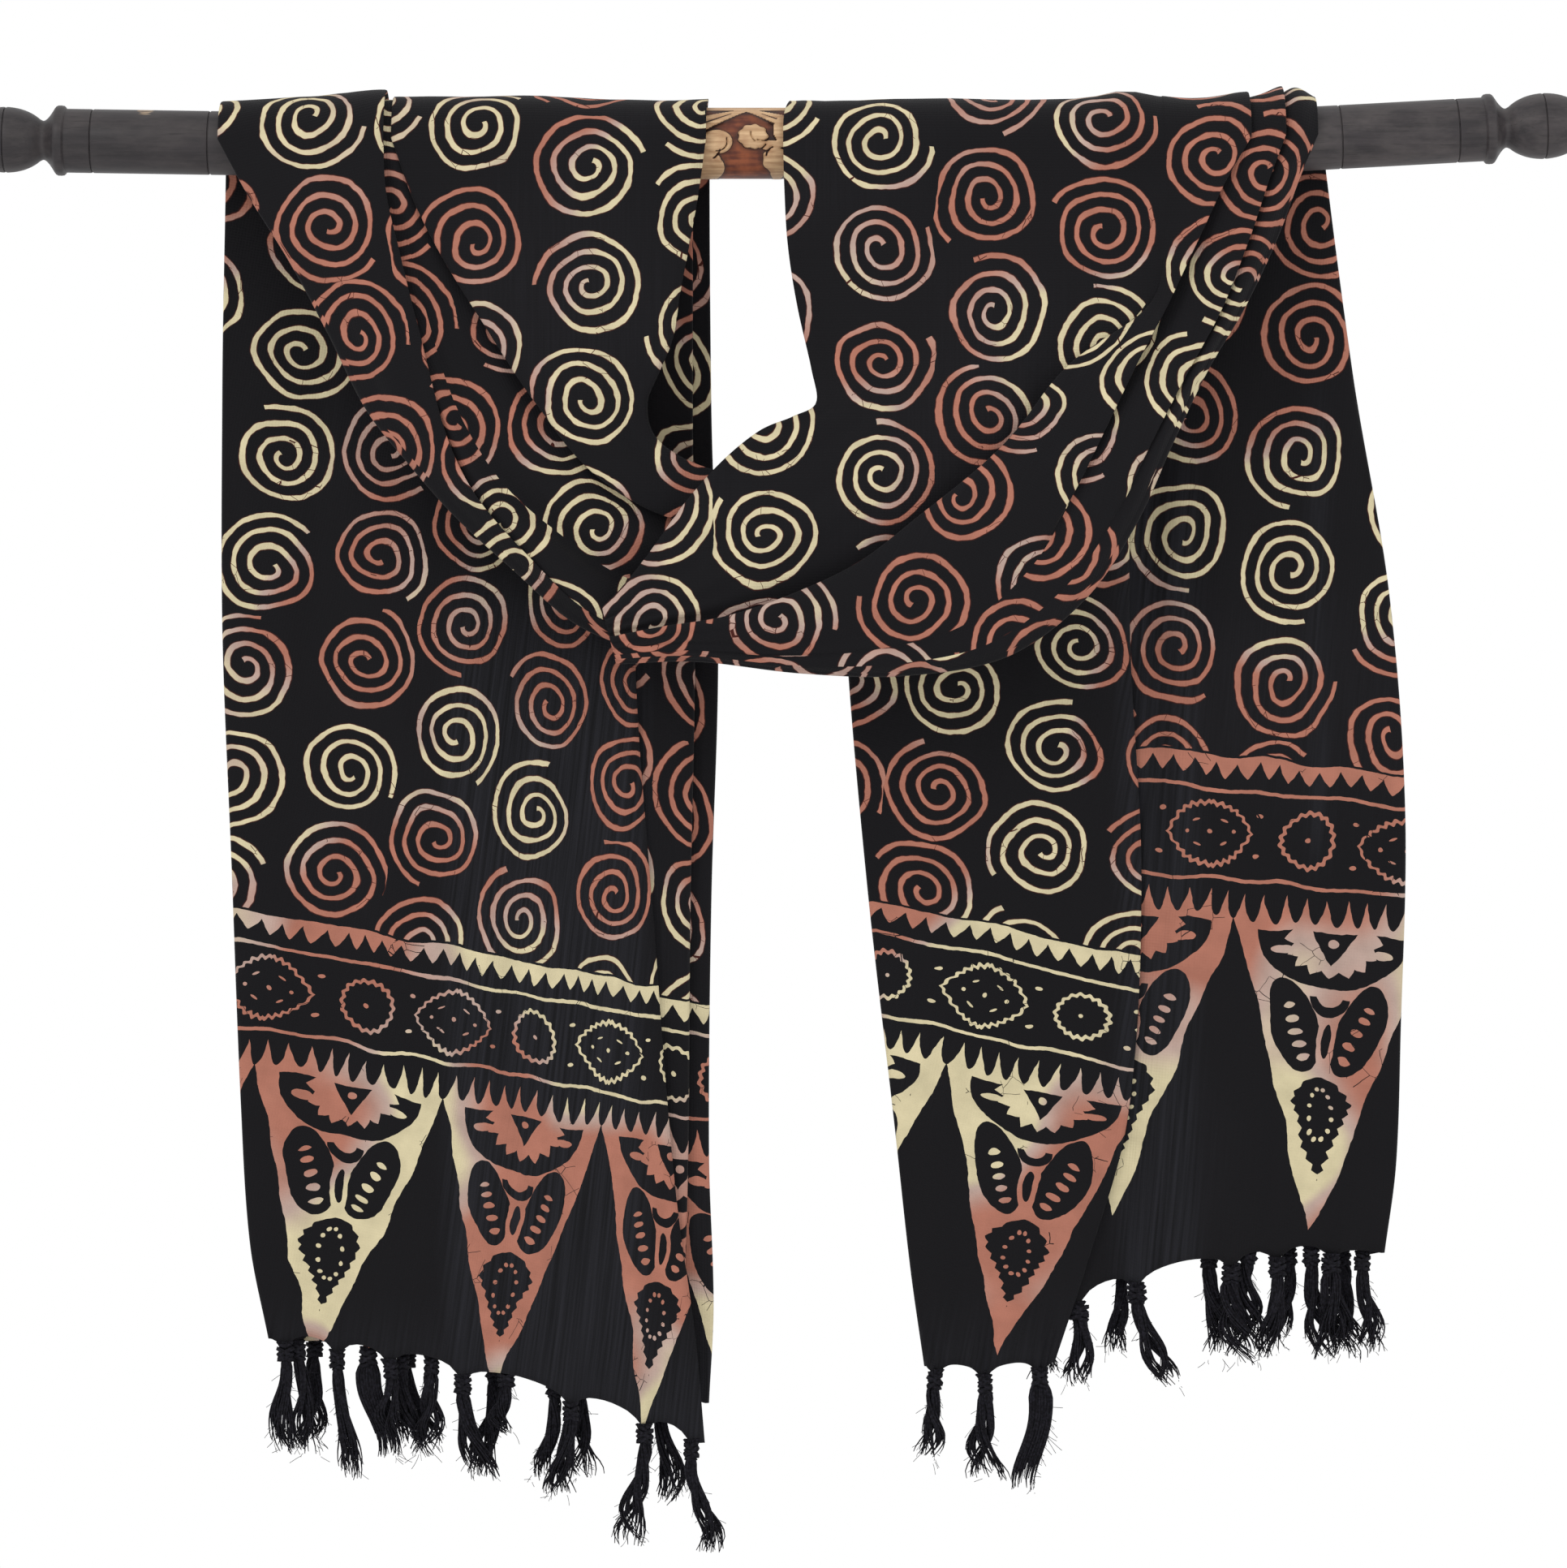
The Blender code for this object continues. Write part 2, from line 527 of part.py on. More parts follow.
def main():
    clear_scene()
    collection = bpy.data.collections.new("sarong_on_rod")
    bpy.context.scene.collection.children.link(collection)
    batik = plain_material("black_batik_rayon", (0.012, 0.011, 0.014), 0.75)
    yarn = plain_material("black_yarn", (0.01, 0.01, 0.012), 0.85)
    stained = plain_material("dark_stained_wood", (0.035, 0.03, 0.03), 0.5)
    carved = plain_material("carved_wood", (0.35, 0.15, 0.06), 0.5)
    pieces = make_rod(stained, carved)
    left = swag_grid(LEFT_OUTLINE, LEFT_DEPTH, LEFT_FOLDS, LEFT_STATIONS)
    right = swag_grid(RIGHT_OUTLINE, RIGHT_DEPTH, RIGHT_FOLDS, RIGHT_STATIONS)
    pieces.append(cloth_from_rows("swag_left", left, batik, False))
    pieces.append(cloth_from_rows("swag_right", right, batik, True))
    tail_top = WRAP_END - SEAM - WALL / 2
    pieces.append(cloth_from_rows("tail_left", tail_grid(LEFT_EDGES, LEFT_CREASES, LEFT_HEM, LEFT_BOW, tail_top), batik, False))
    pieces.append(cloth_from_rows("tail_right", tail_grid(RIGHT_EDGES, RIGHT_CREASES, RIGHT_HEM, RIGHT_BOW, tail_top), batik, False))
    pieces += make_tassels("left", LEFT_EDGES, LEFT_CREASES, LEFT_HEM, LEFT_BOW, LEFT_TASSELS, yarn)
    pieces += make_tassels("right", RIGHT_EDGES, RIGHT_CREASES, RIGHT_HEM, RIGHT_BOW, RIGHT_TASSELS, yarn)
    for piece in pieces:
        collection.objects.link(piece)


main()
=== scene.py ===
"""The looks of a batik sarong that hangs as a swag, with both ends behind, on a turned wooden rod.

X runs along the rod, Z is up and the swag faces -Y. Tables are in millimetres, and MM turns them
into metres. Each stretch of cloth carries a UV map, Cloth, in metres of flat cloth: u across it and
v up from its hem, so that the wax pattern bends into the folds as dyed cloth does.
"""

import functools
import math
import random
from collections import namedtuple
from types import SimpleNamespace

import bmesh
import bpy
from mathutils import Matrix, Vector, noise

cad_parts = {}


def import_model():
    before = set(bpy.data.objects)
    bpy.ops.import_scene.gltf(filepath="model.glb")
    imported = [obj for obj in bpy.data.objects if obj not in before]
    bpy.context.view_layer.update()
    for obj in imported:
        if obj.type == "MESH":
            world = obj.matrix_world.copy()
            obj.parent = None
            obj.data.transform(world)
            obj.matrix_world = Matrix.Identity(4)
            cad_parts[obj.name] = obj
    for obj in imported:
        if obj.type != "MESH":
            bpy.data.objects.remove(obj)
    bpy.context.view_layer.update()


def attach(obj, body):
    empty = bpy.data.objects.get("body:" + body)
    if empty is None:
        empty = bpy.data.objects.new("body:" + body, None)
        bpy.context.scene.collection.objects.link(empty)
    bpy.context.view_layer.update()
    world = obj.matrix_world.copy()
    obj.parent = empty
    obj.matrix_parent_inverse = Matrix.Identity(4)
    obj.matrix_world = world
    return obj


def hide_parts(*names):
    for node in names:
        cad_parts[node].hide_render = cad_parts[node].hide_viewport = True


MM = 0.001

# The photograph's frame
PHOTO_WIDTH = 1931
PHOTO_HEIGHT = 1932
PIXEL = 0.00035  # metres of rod in one pixel
AXIS_PIXEL = (965, 177)  # where the origin falls
CAMERA_DISTANCE = 2.4
SENSOR = 36.0

# The cloth
PLY = 0.45  # thickness here, so that edges show; the real rayon's is about 0.3
WALL = 1.0  # thickness in the CAD
SEAM = 0.3  # gap between two pieces

# The rod
BAR_RADIUS = 15.4
BAR_LEFT = -229.0
BAR_RIGHT = 188.0
RIGHT_TILT = 3.1
ROD_ENDS = (
    # side, way, x where it meets the bar, tilt in degrees, from there to the collar
    ("left", -1, BAR_LEFT, 0.9, 80.3),
    ("right", 1, BAR_RIGHT, RIGHT_TILT, 114.2),
)
END_RADIUS = 13.7
GROOVES = (-62.2, -11.7)  # cut lines on the shaft, measured from the collar
GROOVE = ((-0.8, 0), (-0.35, 0.12), (-0.15, 0.7), (0.15, 0.7), (0.35, 0.12), (0.8, 0))  # along, depth
COLLAR = (
    # along, radius: the collar and the cove after it
    (-0.3, END_RADIUS),
    (0.1, END_RADIUS + 0.7),
    *((0.6, 14.9), (1.8, 15.1), (3.2, 15.05), (4.0, 14.6), (4.6, 13.8), (5.6, 12.2), (6.8, 10.5)),
    *((8.0, 9.2), (9.0, 8.5), (9.9, 8.4), (10.5, 8.7)),
)
FINIAL_CENTRE = 25.9
FINIAL_RADIUS = 14.1
FINIAL_HALVES = (19.2, 20.0)
ROD_STEPS = 96
CHIP = (-0.2745, -0.004, 0.0135)
CHIP_SIZE = (0.0042, 0.006, 0.003)

# The bar's carving, in millimetres across the bar seen from the front
CARVED_DEPTH = 1.7
CARVED_MIDDLE = 1.5  # the carving is mirrored about this x, and again a repeat away
CARVED_REPEAT = 35.0
CARVED_FROM = -44.0  # the stretch that the cloth leaves bare, in front or behind
CARVED_TO = 28.0
CARVED_STEP = 0.45
CARVED_ROUND = 230
STRIP_BOTTOM = 13.4
RIB_MIDDLE = -15.8
BOSSES = (
    # middle x, z, half width, half height, lobes, how far it stands out
    (-28.4, -0.8, 6.6, 6.0, 2, 1.6),
    (-12.9, 1.6, 6.6, 5.8, 9, 1.7),
    (-6.0, -2.4, 6.0, 2.4, 1, 1.4),
    (-32.5, -9.5, 6.0, 6.6, 5, 1.3),
    (-28.5, -11.6, 3.4, 4.0, 3, 1.3),
    (-3.4, -8.5, 5.6, 5.4, 7, 1.3),
    (-2.4, -12.6, 3.6, 3.4, 3, 1.3),
)
KNIFE_CUTS = (
    # centre x, z, radius, from and to an angle in degrees
    (-28.4, -0.6, 4.4, 262, 380),
    (-9.6, 3.1, 4.3, 170, 240),
    (-8.6, 8.0, 8.3, 250, 285),
    (-12.9, 1.6, 6.6, 262, 330),
    (-2.6, -7.4, 4.6, 110, 175),
    (-33.0, -3.0, 6.0, 300, 350),
)
# Rows and columns away at which a place is compared with its surroundings, to find the deep corners where
# shade is painted into the carving's colour
RECESS_SHADE_LOOK = tuple((i, j) for i in (-5, -3, 0, 3, 5) for j in (-5, -3, 0, 3, 5))

# How the cloth lies on the rod
INNER_PLY = BAR_RADIUS + 2 * SEAM + WALL / 2
FRONT_PLY = INNER_PLY + WALL + 0.4
WRAP_GAP = FRONT_PLY - INNER_PLY
TOP_PITCH = 1.6  # from ply to ply of a tail, by the rod and below it
LOW_PITCH = 3.0
TAIL_PLIES = 5
BACK_PLY = INNER_PLY + TOP_PITCH * (TAIL_PLIES - 1)
WRAP_END = -1.2  # height at which the wraps over the rod end behind it
TAIL_TOP = WRAP_END - SEAM - WALL / 2
RIGHT_LIFT = math.tan(math.radians(RIGHT_TILT))
TOP_RIPPLE = 0.3
CORNER_WIDTH = 8.0
RIPPLE_WIDTH = 209.0  # the band's width by the rod, over which its small wrinkles are spaced

# Rows and points of the swag's mesh
SWAG_SPLIT = 9
SWAG_ROWS = 130
WRAP_ROWS = 30
TURN_POINTS = 5
BACK_POINTS = 24
BACK_INSET = 3.0

# Points across each ply of a tail, rows down it, and points round a fold
PLY_POINTS = (56, 56, 20, 20, 40)
TAIL_ROWS = 120
FOLD_POINTS = 5
SEEN_PLIES = (0, 1, 4)

LEFT = SimpleNamespace(
    name="left",
    # The swag's outline, a row for each section from the rod to past the neck
    outline=(
        # upper edge x, z, lower edge x, z
        (-33, 0, -242, 0),
        (-36, -22, -229, -24),
        (-40, -45, -211, -53),
        (-44, -66, -195, -83),
        (-47, -85, -179, -115),
        (-53, -100, -162, -137),
        (-58, -113, -141, -161),
        (-55, -127, -116, -184),
        (-42, -137, -88, -208),
        (-24, -143, -58, -218),
        (0, -146, -20, -216),
        (24, -148, 12, -208),
    ),
    depth=(
        # along, front ply's y, gap to the back ply
        (0.0, -FRONT_PLY, WRAP_GAP),
        (0.12, -18.2, 1.8),
        (0.35, -18.0, 5.0),
        (0.7, -17.0, 6.0),
        (1.0, -16.0, 4.0),
    ),
    # Fold lines from the upper edge to the lower one: places across the band and heights at the stations
    stations=(0.0, 0.18, 0.36, 0.55, 0.73, 1.0),
    folds=(
        ("upper_edge", (0, 0, 0, 0, 0, 0), (0, 1, 1, 1, 1, 0)),
        ("right_band", (0.30, 0.30, 0.28, 0.20, 0.16, 0.16), (1, 3, 6, 7, 6, 3)),
        ("right_edge", (0.64, 0.62, 0.52, 0.41, 0.32, 0.30), (2, 5, 8, 8, 7, 4)),
        ("right_tuck", (0.62, 0.595, 0.495, 0.385, 0.30, 0.28), (0.5, 0.5, 0.5, 0.5, 0.5, 0.5)),
        ("middle_band", (0.65, 0.67, 0.64, 0.60, 0.52, 0.50), (0.6, 2.5, 4.5, 6, 6, 3)),
        ("roll_valley", (0.665, 0.70, 0.74, 0.76, 0.70, 0.70), (0.6, 1.5, 3, 2, 1.5, 1)),
        ("roll", (0.68, 0.73, 0.79, 0.84, 0.82, 0.82), (0.5, 1.5, 4, 6, 7, 4)),
        ("left_tuck", (0.695, 0.755, 0.82, 0.92, 0.965, 0.97), (0.5, 0.5, 0.5, 2, 2, 1)),
        ("left_edge", (0.665, 0.73, 0.79, 0.90, 0.95, 0.96), (5, 8, 8, 6, 3, 1.5)),
        ("left_band", (0.82, 0.88, 0.91, 0.96, 0.98, 0.985), (2, 4, 5, 3, 1.5, 0.5)),
        ("lower_edge", (1, 1, 1, 1, 1, 1), (0, 0, 0, 0, 0, 0)),
    ),
    # Panels of the swag, between the edges that lie over each other: the last fold line of each, the
    # way its grain turns in degrees, the x and z where its pattern runs on from the panel before, and
    # the shares of the way down between which its own grain takes over
    panels=(
        ("right_tuck", 0, 0, 0, 0, 1),
        ("roll_valley", 20, -165, -31, 0.08, 0.45),
        ("left_tuck", 26, -180, -60, 0.1, 0.6),
        ("lower_edge", 12, -205, 15, -1.0, -0.5),
    ),
    # Where the cloth stands off the top of the rod: distance from the upper edge, height and half width
    bumps=((2, 1.0, 5), (75, 1.2, 20)),
    corner=0.8,  # how far right the selvage stands where it turns over the rod
    start=(12, 1040),  # u and v of the first panel's pattern at the origin
    flip=False,  # whether its faces are turned so that they point outwards
    swag_seed=3.1,
    # The tail: x of each edge of the five plies, a row for each height
    edges=(
        # down, front ply's free edge, left fold, right fold, left fold, right fold, back ply's free edge
        (0.0, -62, -241, -40, -238, -33, -240),
        (0.2, -63, -242, -41, -238, -33, -240),
        (0.4, -64, -242, -40, -237, -30, -239),
        (0.6, -56, -238, -42, -234, -33, -236),
        (0.8, -47, -234, -43, -231, -34, -232),
        (0.92, -38, -230, -45, -226, -32, -228),
        (1.0, -34, -222, -48, -216, -34, -219),
    ),
    # Height of the hem at each of those edges, and how far it bows up between them
    hem=(-562, -517, -548, -519, -546, -516),
    bow=(5, 6, 6, 5, 4),
    creases=(
        # x at the rod, x at the hem, half width, depth, where it starts, where it ends
        (-207, -194, 17, 2.5, 0.1, 1.1),
        (-165, -152, 24, -2.0, 0.15, 1.1),
        (-112, -104, 20, 2.8, 0.2, 1.1),
        (-72, -64, 15, -1.5, 0.3, 1.1),
        (-218, -208, 4, 0.8, 0.5, 1.1),
        (-140, -138, 5, 0.9, 0.35, 0.9),
        (-92, -84, 4, 0.9, 0.55, 1.1),
        (-52, -50, 4, 0.8, 0.6, 1.1),
    ),
    # How the pattern lies on each ply: x and z of a triangle's tip, how its rows slope and its columns
    # lean, how much the cloth is drawn together across, and how much it is let out down
    grain=(
        (-203, -519, -0.188, 0.15, 0.0014, 1.02),
        (-45, -556, -0.23, 0, 0, 1),
        (-45, -556, -0.23, 0, 0, 1),
        (-45, -556, -0.23, 0, 0, 1),
        (-45, -552, -0.20, 0, 0, 1),
    ),
    run=0,  # how far along its end border the pattern begins, in whole triangles
    tail_seed=1.3,
    # Tassels: places across a ply from its left, with each tassel's length and its drift to the right
    tassels=(
        # ply, girth, (place, length, drift)
        (0, 0.82, ((0.03, 49, 0), (0.15, 57, 6), (0.27, 34, 5), (0.44, 46, 8),
                   (0.69, 43, -5), (0.86, 54, -4), (0.97, 50, 7))),
        (1, 0.85, ((0.06, 52, 9), (0.24, 50, 6), (0.40, 45, -3), (0.58, 30, 1))),
        (2, 0.8, ((0.30, 44, 3), (0.69, 48, -3))),
        (4, 0.8, ((0.08, 50, -3), (0.30, 46, 4), (0.50, 52, -2), (0.70, 47, 3), (0.90, 49, 2))),
    ),
)
RIGHT = SimpleNamespace(
    name="right",
    outline=(
        (0, 0, 229, 0),
        (0.5, -21, 221, -18),
        (2, -46, 211, -44),
        (6, -72, 197, -73),
        (12, -99, 181, -100),
        (14, -114, 166, -131),
        (4, -120, 150, -166),
        (-10, -126, 128, -198),
        (-26, -139, 95, -222),
        (-42, -157, 52, -230),
        (-57, -178, 8, -229),
        (-69, -193, -36, -224),
        (-77, -201, -71, -225),
    ),
    depth=(
        (0.0, -FRONT_PLY, WRAP_GAP),
        (0.12, -19.0, 1.8),
        (0.3, -25.0, 3.5),
        (0.45, -32.0, 4.5),
        (0.7, -35.0, 5.0),
        (1.0, -34.0, 2.4),
    ),
    stations=(0.0, 0.17, 0.25, 0.33, 0.42, 0.58, 0.75, 1.0),
    folds=(
        ("upper_edge", (0, 0, 0, 0, 0, 0, 0, 0), (0, 0.5, 0.5, 0.5, 1, 1, 1, 0)),
        ("corner", (0.05, 0.05, 0.05, 0.05, 0.06, 0.17, 0.20, 0.20), (0, 0.8, 1, 1.5, 3.5, 4.5, 3, 1)),
        ("panel", (0.35, 0.38, 0.38, 0.34, 0.30, 0.32, 0.33, 0.33), (0.5, 2, 3, 4, 5, 6, 5, 2)),
        ("panel_tuck", (0.70, 0.76, 0.78, 0.675, 0.61, 0.54, 0.56, 0.60), (1, 2, 2, 1, 0.5, 0.5, 0.5, 0.5)),
        ("band_edge", (0.72, 0.78, 0.79, 0.65, 0.58, 0.51, 0.53, 0.57), (1.5, 2.5, 4, 7, 8.5, 9, 8, 3)),
        ("band", (0.79, 0.80, 0.81, 0.74, 0.70, 0.72, 0.74, 0.76), (1.5, 4, 6, 6, 6, 6, 5, 2)),
        ("outer_edge", (0.875, 0.84, 0.83, 0.82, 0.81, 0.81, 0.83, 0.85), (3.5, 8, 8.5, 8, 7, 6, 4.5, 1.5)),
        ("outer_tuck", (0.86, 0.82, 0.81, 0.80, 0.795, 0.84, 0.87, 0.89), (0.5, 0.5, 0.5, 1, 3, 4, 3.5, 1)),
        ("pleat", (0.90, 0.88, 0.89, 0.89, 0.88, 0.885, 0.90, 0.92), (2, 4, 4, 4.5, 5, 4.5, 4, 1.2)),
        ("pleat_edge", (0.94, 0.945, 0.955, 0.96, 0.95, 0.93, 0.935, 0.945), (5, 6, 6, 5, 4, 4, 3, 1)),
        (
            "pleat_tuck",
            (0.93, 0.93, 0.94, 0.95, 0.955, 0.95, 0.955, 0.96),
            (0.5, 0.5, 0.5, 1, 2, 3, 2.4, 0.8),
        ),
        ("rope", (0.965, 0.97, 0.975, 0.98, 0.98, 0.975, 0.98, 0.98), (4, 4, 4, 3, 2.5, 2, 1.5, 0.5)),
        ("lower_edge", (1, 1, 1, 1, 1, 1, 1, 1), (0, 0, 0, 0, 0, 0, 0, 0)),
    ),
    panels=(
        ("panel_tuck", 0, 0, 0, 0, 1),
        ("outer_tuck", -26, 172, -40, 0.12, 0.5),
        ("pleat_tuck", -16, 190, 30, -1.0, -0.5),
        ("lower_edge", -12, 235, -10, -1.0, -0.5),
    ),
    bumps=((147, 3.4, 13), (60, 0.8, 25)),
    corner=3.0,
    start=(-445, 1052),
    flip=True,
    swag_seed=7.7,
    edges=(
        (0.0, 150, 22, 234, 60, 230, 30),
        (0.2, 151, 25, 246, 62, 242, 34),
        (0.4, 151, 29, 262, 64, 256, 38),
        (0.6, 156, 38, 269, 70, 263, 46),
        (0.8, 150, 50, 267, 80, 261, 60),
        (0.92, 132, 57, 265, 95, 258, 80),
        (1.0, 118, 63, 260, 110, 252, 95),
    ),
    hem=(-527, -529, -480, -488, -478, -492),
    bow=(-4, 14, 8, 6, 6),
    creases=(
        (161, 146, 15, 6.5, 0.2, 1.1),
        (188, 182, 16, -2.5, 0.1, 1.1),
        (88, 92, 22, 2.0, 0.2, 1.1),
        (232, 228, 14, 1.8, 0.5, 1.1),
        (240, 244, 12, -1.8, 0.05, 0.5),
        (171, 171, 3.5, -1.6, 0.2, 0.75),
        (60, 74, 5, 0.9, 0.5, 1.1),
        (120, 104, 5, 1.2, 0.6, 1.1),
        (205, 208, 4, 0.8, 0.6, 1.1),
    ),
    grain=(
        (95, -517, -0.214, 0.17, 0, 1.045),
        (230, -462, -0.096, -0.08, 0, 0.96),
        (230, -465, 0, 0, 0, 1),
        (230, -465, 0, 0, 0, 1),
        (230, -468, 0, 0, 0, 1),
    ),
    run=860,
    tail_seed=5.9,
    tassels=(
        (0, 0.9, ((0.06, 42, -5), (0.44, 47, 3), (0.88, 56, -4))),
        (1, 1.1, ((0.33, 38, 3), (0.46, 47, 14), (0.67, 45, 4), (0.77, 47, -2), (0.89, 46, 3))),
        (2, 0.85, ((0.62, 44, -2), (0.80, 50, 4), (0.95, 45, 2))),
        (4, 0.85, ((0.10, 50, 3), (0.34, 45, -3), (0.58, 51, 2), (0.80, 46, -2), (0.95, 48, 3))),
    ),
)

# Stretches of looser weave that the light comes through: x from and to, z from and to
SHEER = ((-152, -54, -170, -600), (-300, 300, -492, -640), (140, 186, -110, -620), (224, 242, -80, -330))
GRAIN_SETTLES = 0.35  # share of the second ply across which its own grain takes over, behind the first

# The hem and the fringe
HEM_GAP = 0.5
SCALLOP = 0.14  # how far the hem arches up between two tassels, for each millimetre between them
LONGEST_SCALLOP = 30.0
FREE_SCALLOP = 0.3  # the share of it that is left between the last tassel and a free edge
PULLED = 2.6  # how far a knot pulls the hem down
GATHER = 3.6  # half the width of warp that is gathered into a knot

# Yarn
LOCKS = 3  # strands that a tassel is twisted from
YARNS = 17  # in each strand
YARN_RADIUS = 0.46
YARN_POINTS = 16
YARN_TAPER = (0.92, 0.84, 0.76, 0.66, 0.54, 0.35)
KNOT_POINTS = 31
KNOT_YARN = 2.4
HAIRS = 36
HAIR_RADIUS = 0.11
HAIR_STEPS = 5
FLAT_LOCKS = ("left_09", "right_03")  # ends of cloth that were left unravelled but for one edge

# The wax pattern, in metres of flat cloth
COLUMN = 0.0475
ROW = 0.0483
RING = 0.0068  # from turn to turn of a spiral
LINE = 0.0021
BORDER_DYE = 0.45
WAX_SHAKES = ((45.0, 0.0, 0.0056), (240.0, 1.0, 0.0010))  # patches to a metre, detail, how far it strays

# The end border, in millimetres up from the hem and from the middle of a triangle or medallion
BORDER_TOP = 186.4
STRIP_TEETH = 4.55
LINES = ((172.3, 0.8), (135.0, 0.8))  # height, half width
MEDALLION_HEIGHT = 153.6
MEDALLION = 42.5  # from a round medallion to the pointed one beside it
ROUND_RADIUS = 11.0
POINTED_HALVES = (19.5, 14.0)
POINTED_DOTS = (
    # middle, half width, half height, tilt
    ((5.6, 5.0), 1.7, 0.5, 25),
    ((10.0, 0.0), 0.9, 0.8, 0),
    ((0.0, 0.0), 1.0, 1.0, 0),
)
TRIANGLE = 86.0  # from a triangle to the next
BOWL_TOP = 116.5
BOWL_HALVES = (32.5, 23.5)
CORE_HALVES = (18.0, 15.6)
SMILE_TOP = 89.0
WING = (14.2, 77.0, 0)
WING_TILT = 20
WING_SEEDS = 2.8  # from a seed to the gap beside it
BODY = (0, 71.5)
DROP = (0, 40.0, 0)
DROP_RING = (5.4, 11.0)
DROP_CROWN = 44.0

# A place on the cloth: its point in the air, its place on the flat cloth (u and v on a tail), the way
# across the band, its distance from the upper edge, and its height
Spot = namedtuple("Spot", "point flat across reach height", defaults=(None, 0.0, 0.0))

# The setting that stands after a kind of node, where it isn't an operation
MODES = {"Mix": "data_type", "TexGradient": "gradient_type", "VectorRotate": "rotation_type"}


def linear(hex_colour):
    """An sRGB hex colour as the linear colour that the shader takes."""
    channels = [int(hex_colour[i : i + 2], 16) / 255 for i in (0, 2, 4)]
    return (*[c / 12.92 if c <= 0.04045 else ((c + 0.055) / 1.055) ** 2.4 for c in channels], 1.0)


def add_node(tree, kind, *inputs, out=None, **settings):
    """Adds a node, such as "Math ADD", with its inputs in order and its settings, and gives an output."""
    kind, _, mode = kind.partition(" ")
    made = tree.nodes.new("ShaderNode" + kind)
    if mode:
        settings[MODES.get(kind, "operation")] = mode
    for name, value in settings.items():
        setattr(made, name, value)
    for socket, value in zip([socket for socket in made.inputs if socket.enabled], inputs):
        if isinstance(value, bpy.types.NodeSocket):
            tree.links.new(value, socket)
        elif value is not None:
            socket.default_value = value
    return made.outputs[out] if out else next(socket for socket in made.outputs if socket.enabled)


def smooth_steps(rows, place):
    """Values at a place along a table whose rows start with their own place, on a smooth curve."""
    places = [row[0] for row in rows]
    place = min(max(place, places[0]), places[-1])
    i = max(k for k in range(len(rows) - 1) if places[k] <= place)
    before, a, b, after = rows[max(i - 1, 0)], rows[i], rows[i + 1], rows[min(i + 2, len(rows) - 1)]
    span = b[0] - a[0]
    f = (place - a[0]) / span
    values = []
    for k in range(1, len(a)):
        slope_a = (b[k] - before[k]) / max(b[0] - before[0], 1e-9) * span
        slope_b = (after[k] - a[k]) / max(after[0] - a[0], 1e-9) * span
        values.append(
            (2 * f**3 - 3 * f**2 + 1) * a[k]
            + (f**3 - 2 * f**2 + f) * slope_a
            + (3 * f**2 - 2 * f**3) * b[k]
            + (f**3 - f**2) * slope_b
        )
    return values


def ease(share):
    share = max(0.0, min(1.0, share))
    return share * share * (3 - 2 * share)


def hill(away):
    """1 at 0, and next to nothing from 2 on."""
    return math.exp(-away * away)


def smooth_path(points):
    """A smooth line through points of (reach, height), with the same number of steps between each two."""
    spaced = [0.0]
    for a, b in zip(points, points[1:]):
        spaced.append(spaced[-1] + max(math.dist(a, b), 0.01) ** 0.5)
    rows = [(at, *point) for at, point in zip(spaced, points)]
    steps = range(SWAG_SPLIT)
    places = [a + (b - a) * k / SWAG_SPLIT for a, b in zip(spaced, spaced[1:]) for k in steps]
    return [tuple(smooth_steps(rows, place)) for place in [*places, spaced[-1]]]


def band_section(side, along, chord, gap):
    """A section of the swag's band from the selvage on, as points of (distance from that edge, height).

    The front ply comes first, then the turn at the lower edge and the back ply.
    """
    turn = gap / 2
    lines = []
    for _, places, heights in side.folds:
        across, height = smooth_steps(list(zip(side.stations, places, heights)), along)
        lines.append((across * (chord - turn), height))
    points = smooth_path(lines)
    for k in range(1, TURN_POINTS + 1):
        angle = math.pi * k / (TURN_POINTS + 1)
        points.append((chord - turn + turn * math.sin(angle), -turn + turn * math.cos(angle)))
    for k in range(BACK_POINTS + 1):
        f = k / BACK_POINTS
        points.append(((chord - turn) * (1 - f) + BACK_INSET * f, -gap))
    return points


def rod_lift(x):
    """How much higher than the bar the tilted right end of the rod lies."""
    return max(0.0, x - BAR_RIGHT) * RIGHT_LIFT


def wrap_point(x, height, turn):
    """A point of the band where it lies round the rod; turn is 0 in front and pi behind."""
    widen = ease((turn / math.pi - 0.45) / 0.55)
    inner = 1 + height / WRAP_GAP if height < 0 else 1
    radius = FRONT_PLY + height + (BACK_PLY - FRONT_PLY) * widen * inner
    return Vector((x, -radius * math.cos(turn), radius * math.sin(turn) + rod_lift(x)))


def ripple(place, along, seed):
    """Small soft wrinkles that run along the band."""
    broad = noise.noise(Vector((place / 16, along * 3.2, seed)))
    fine = noise.noise(Vector((place / 5.5, along * 7, seed + 9)))
    return 1.8 * broad + 0.4 * fine


def stand_off(side, reach, along):
    """How far the cloth stands off the top of the rod."""
    raised = sum(high * hill((reach - at) / wide) for at, high, wide in side.bumps)
    return raised + TOP_RIPPLE * abs(ripple(reach, along, side.swag_seed))


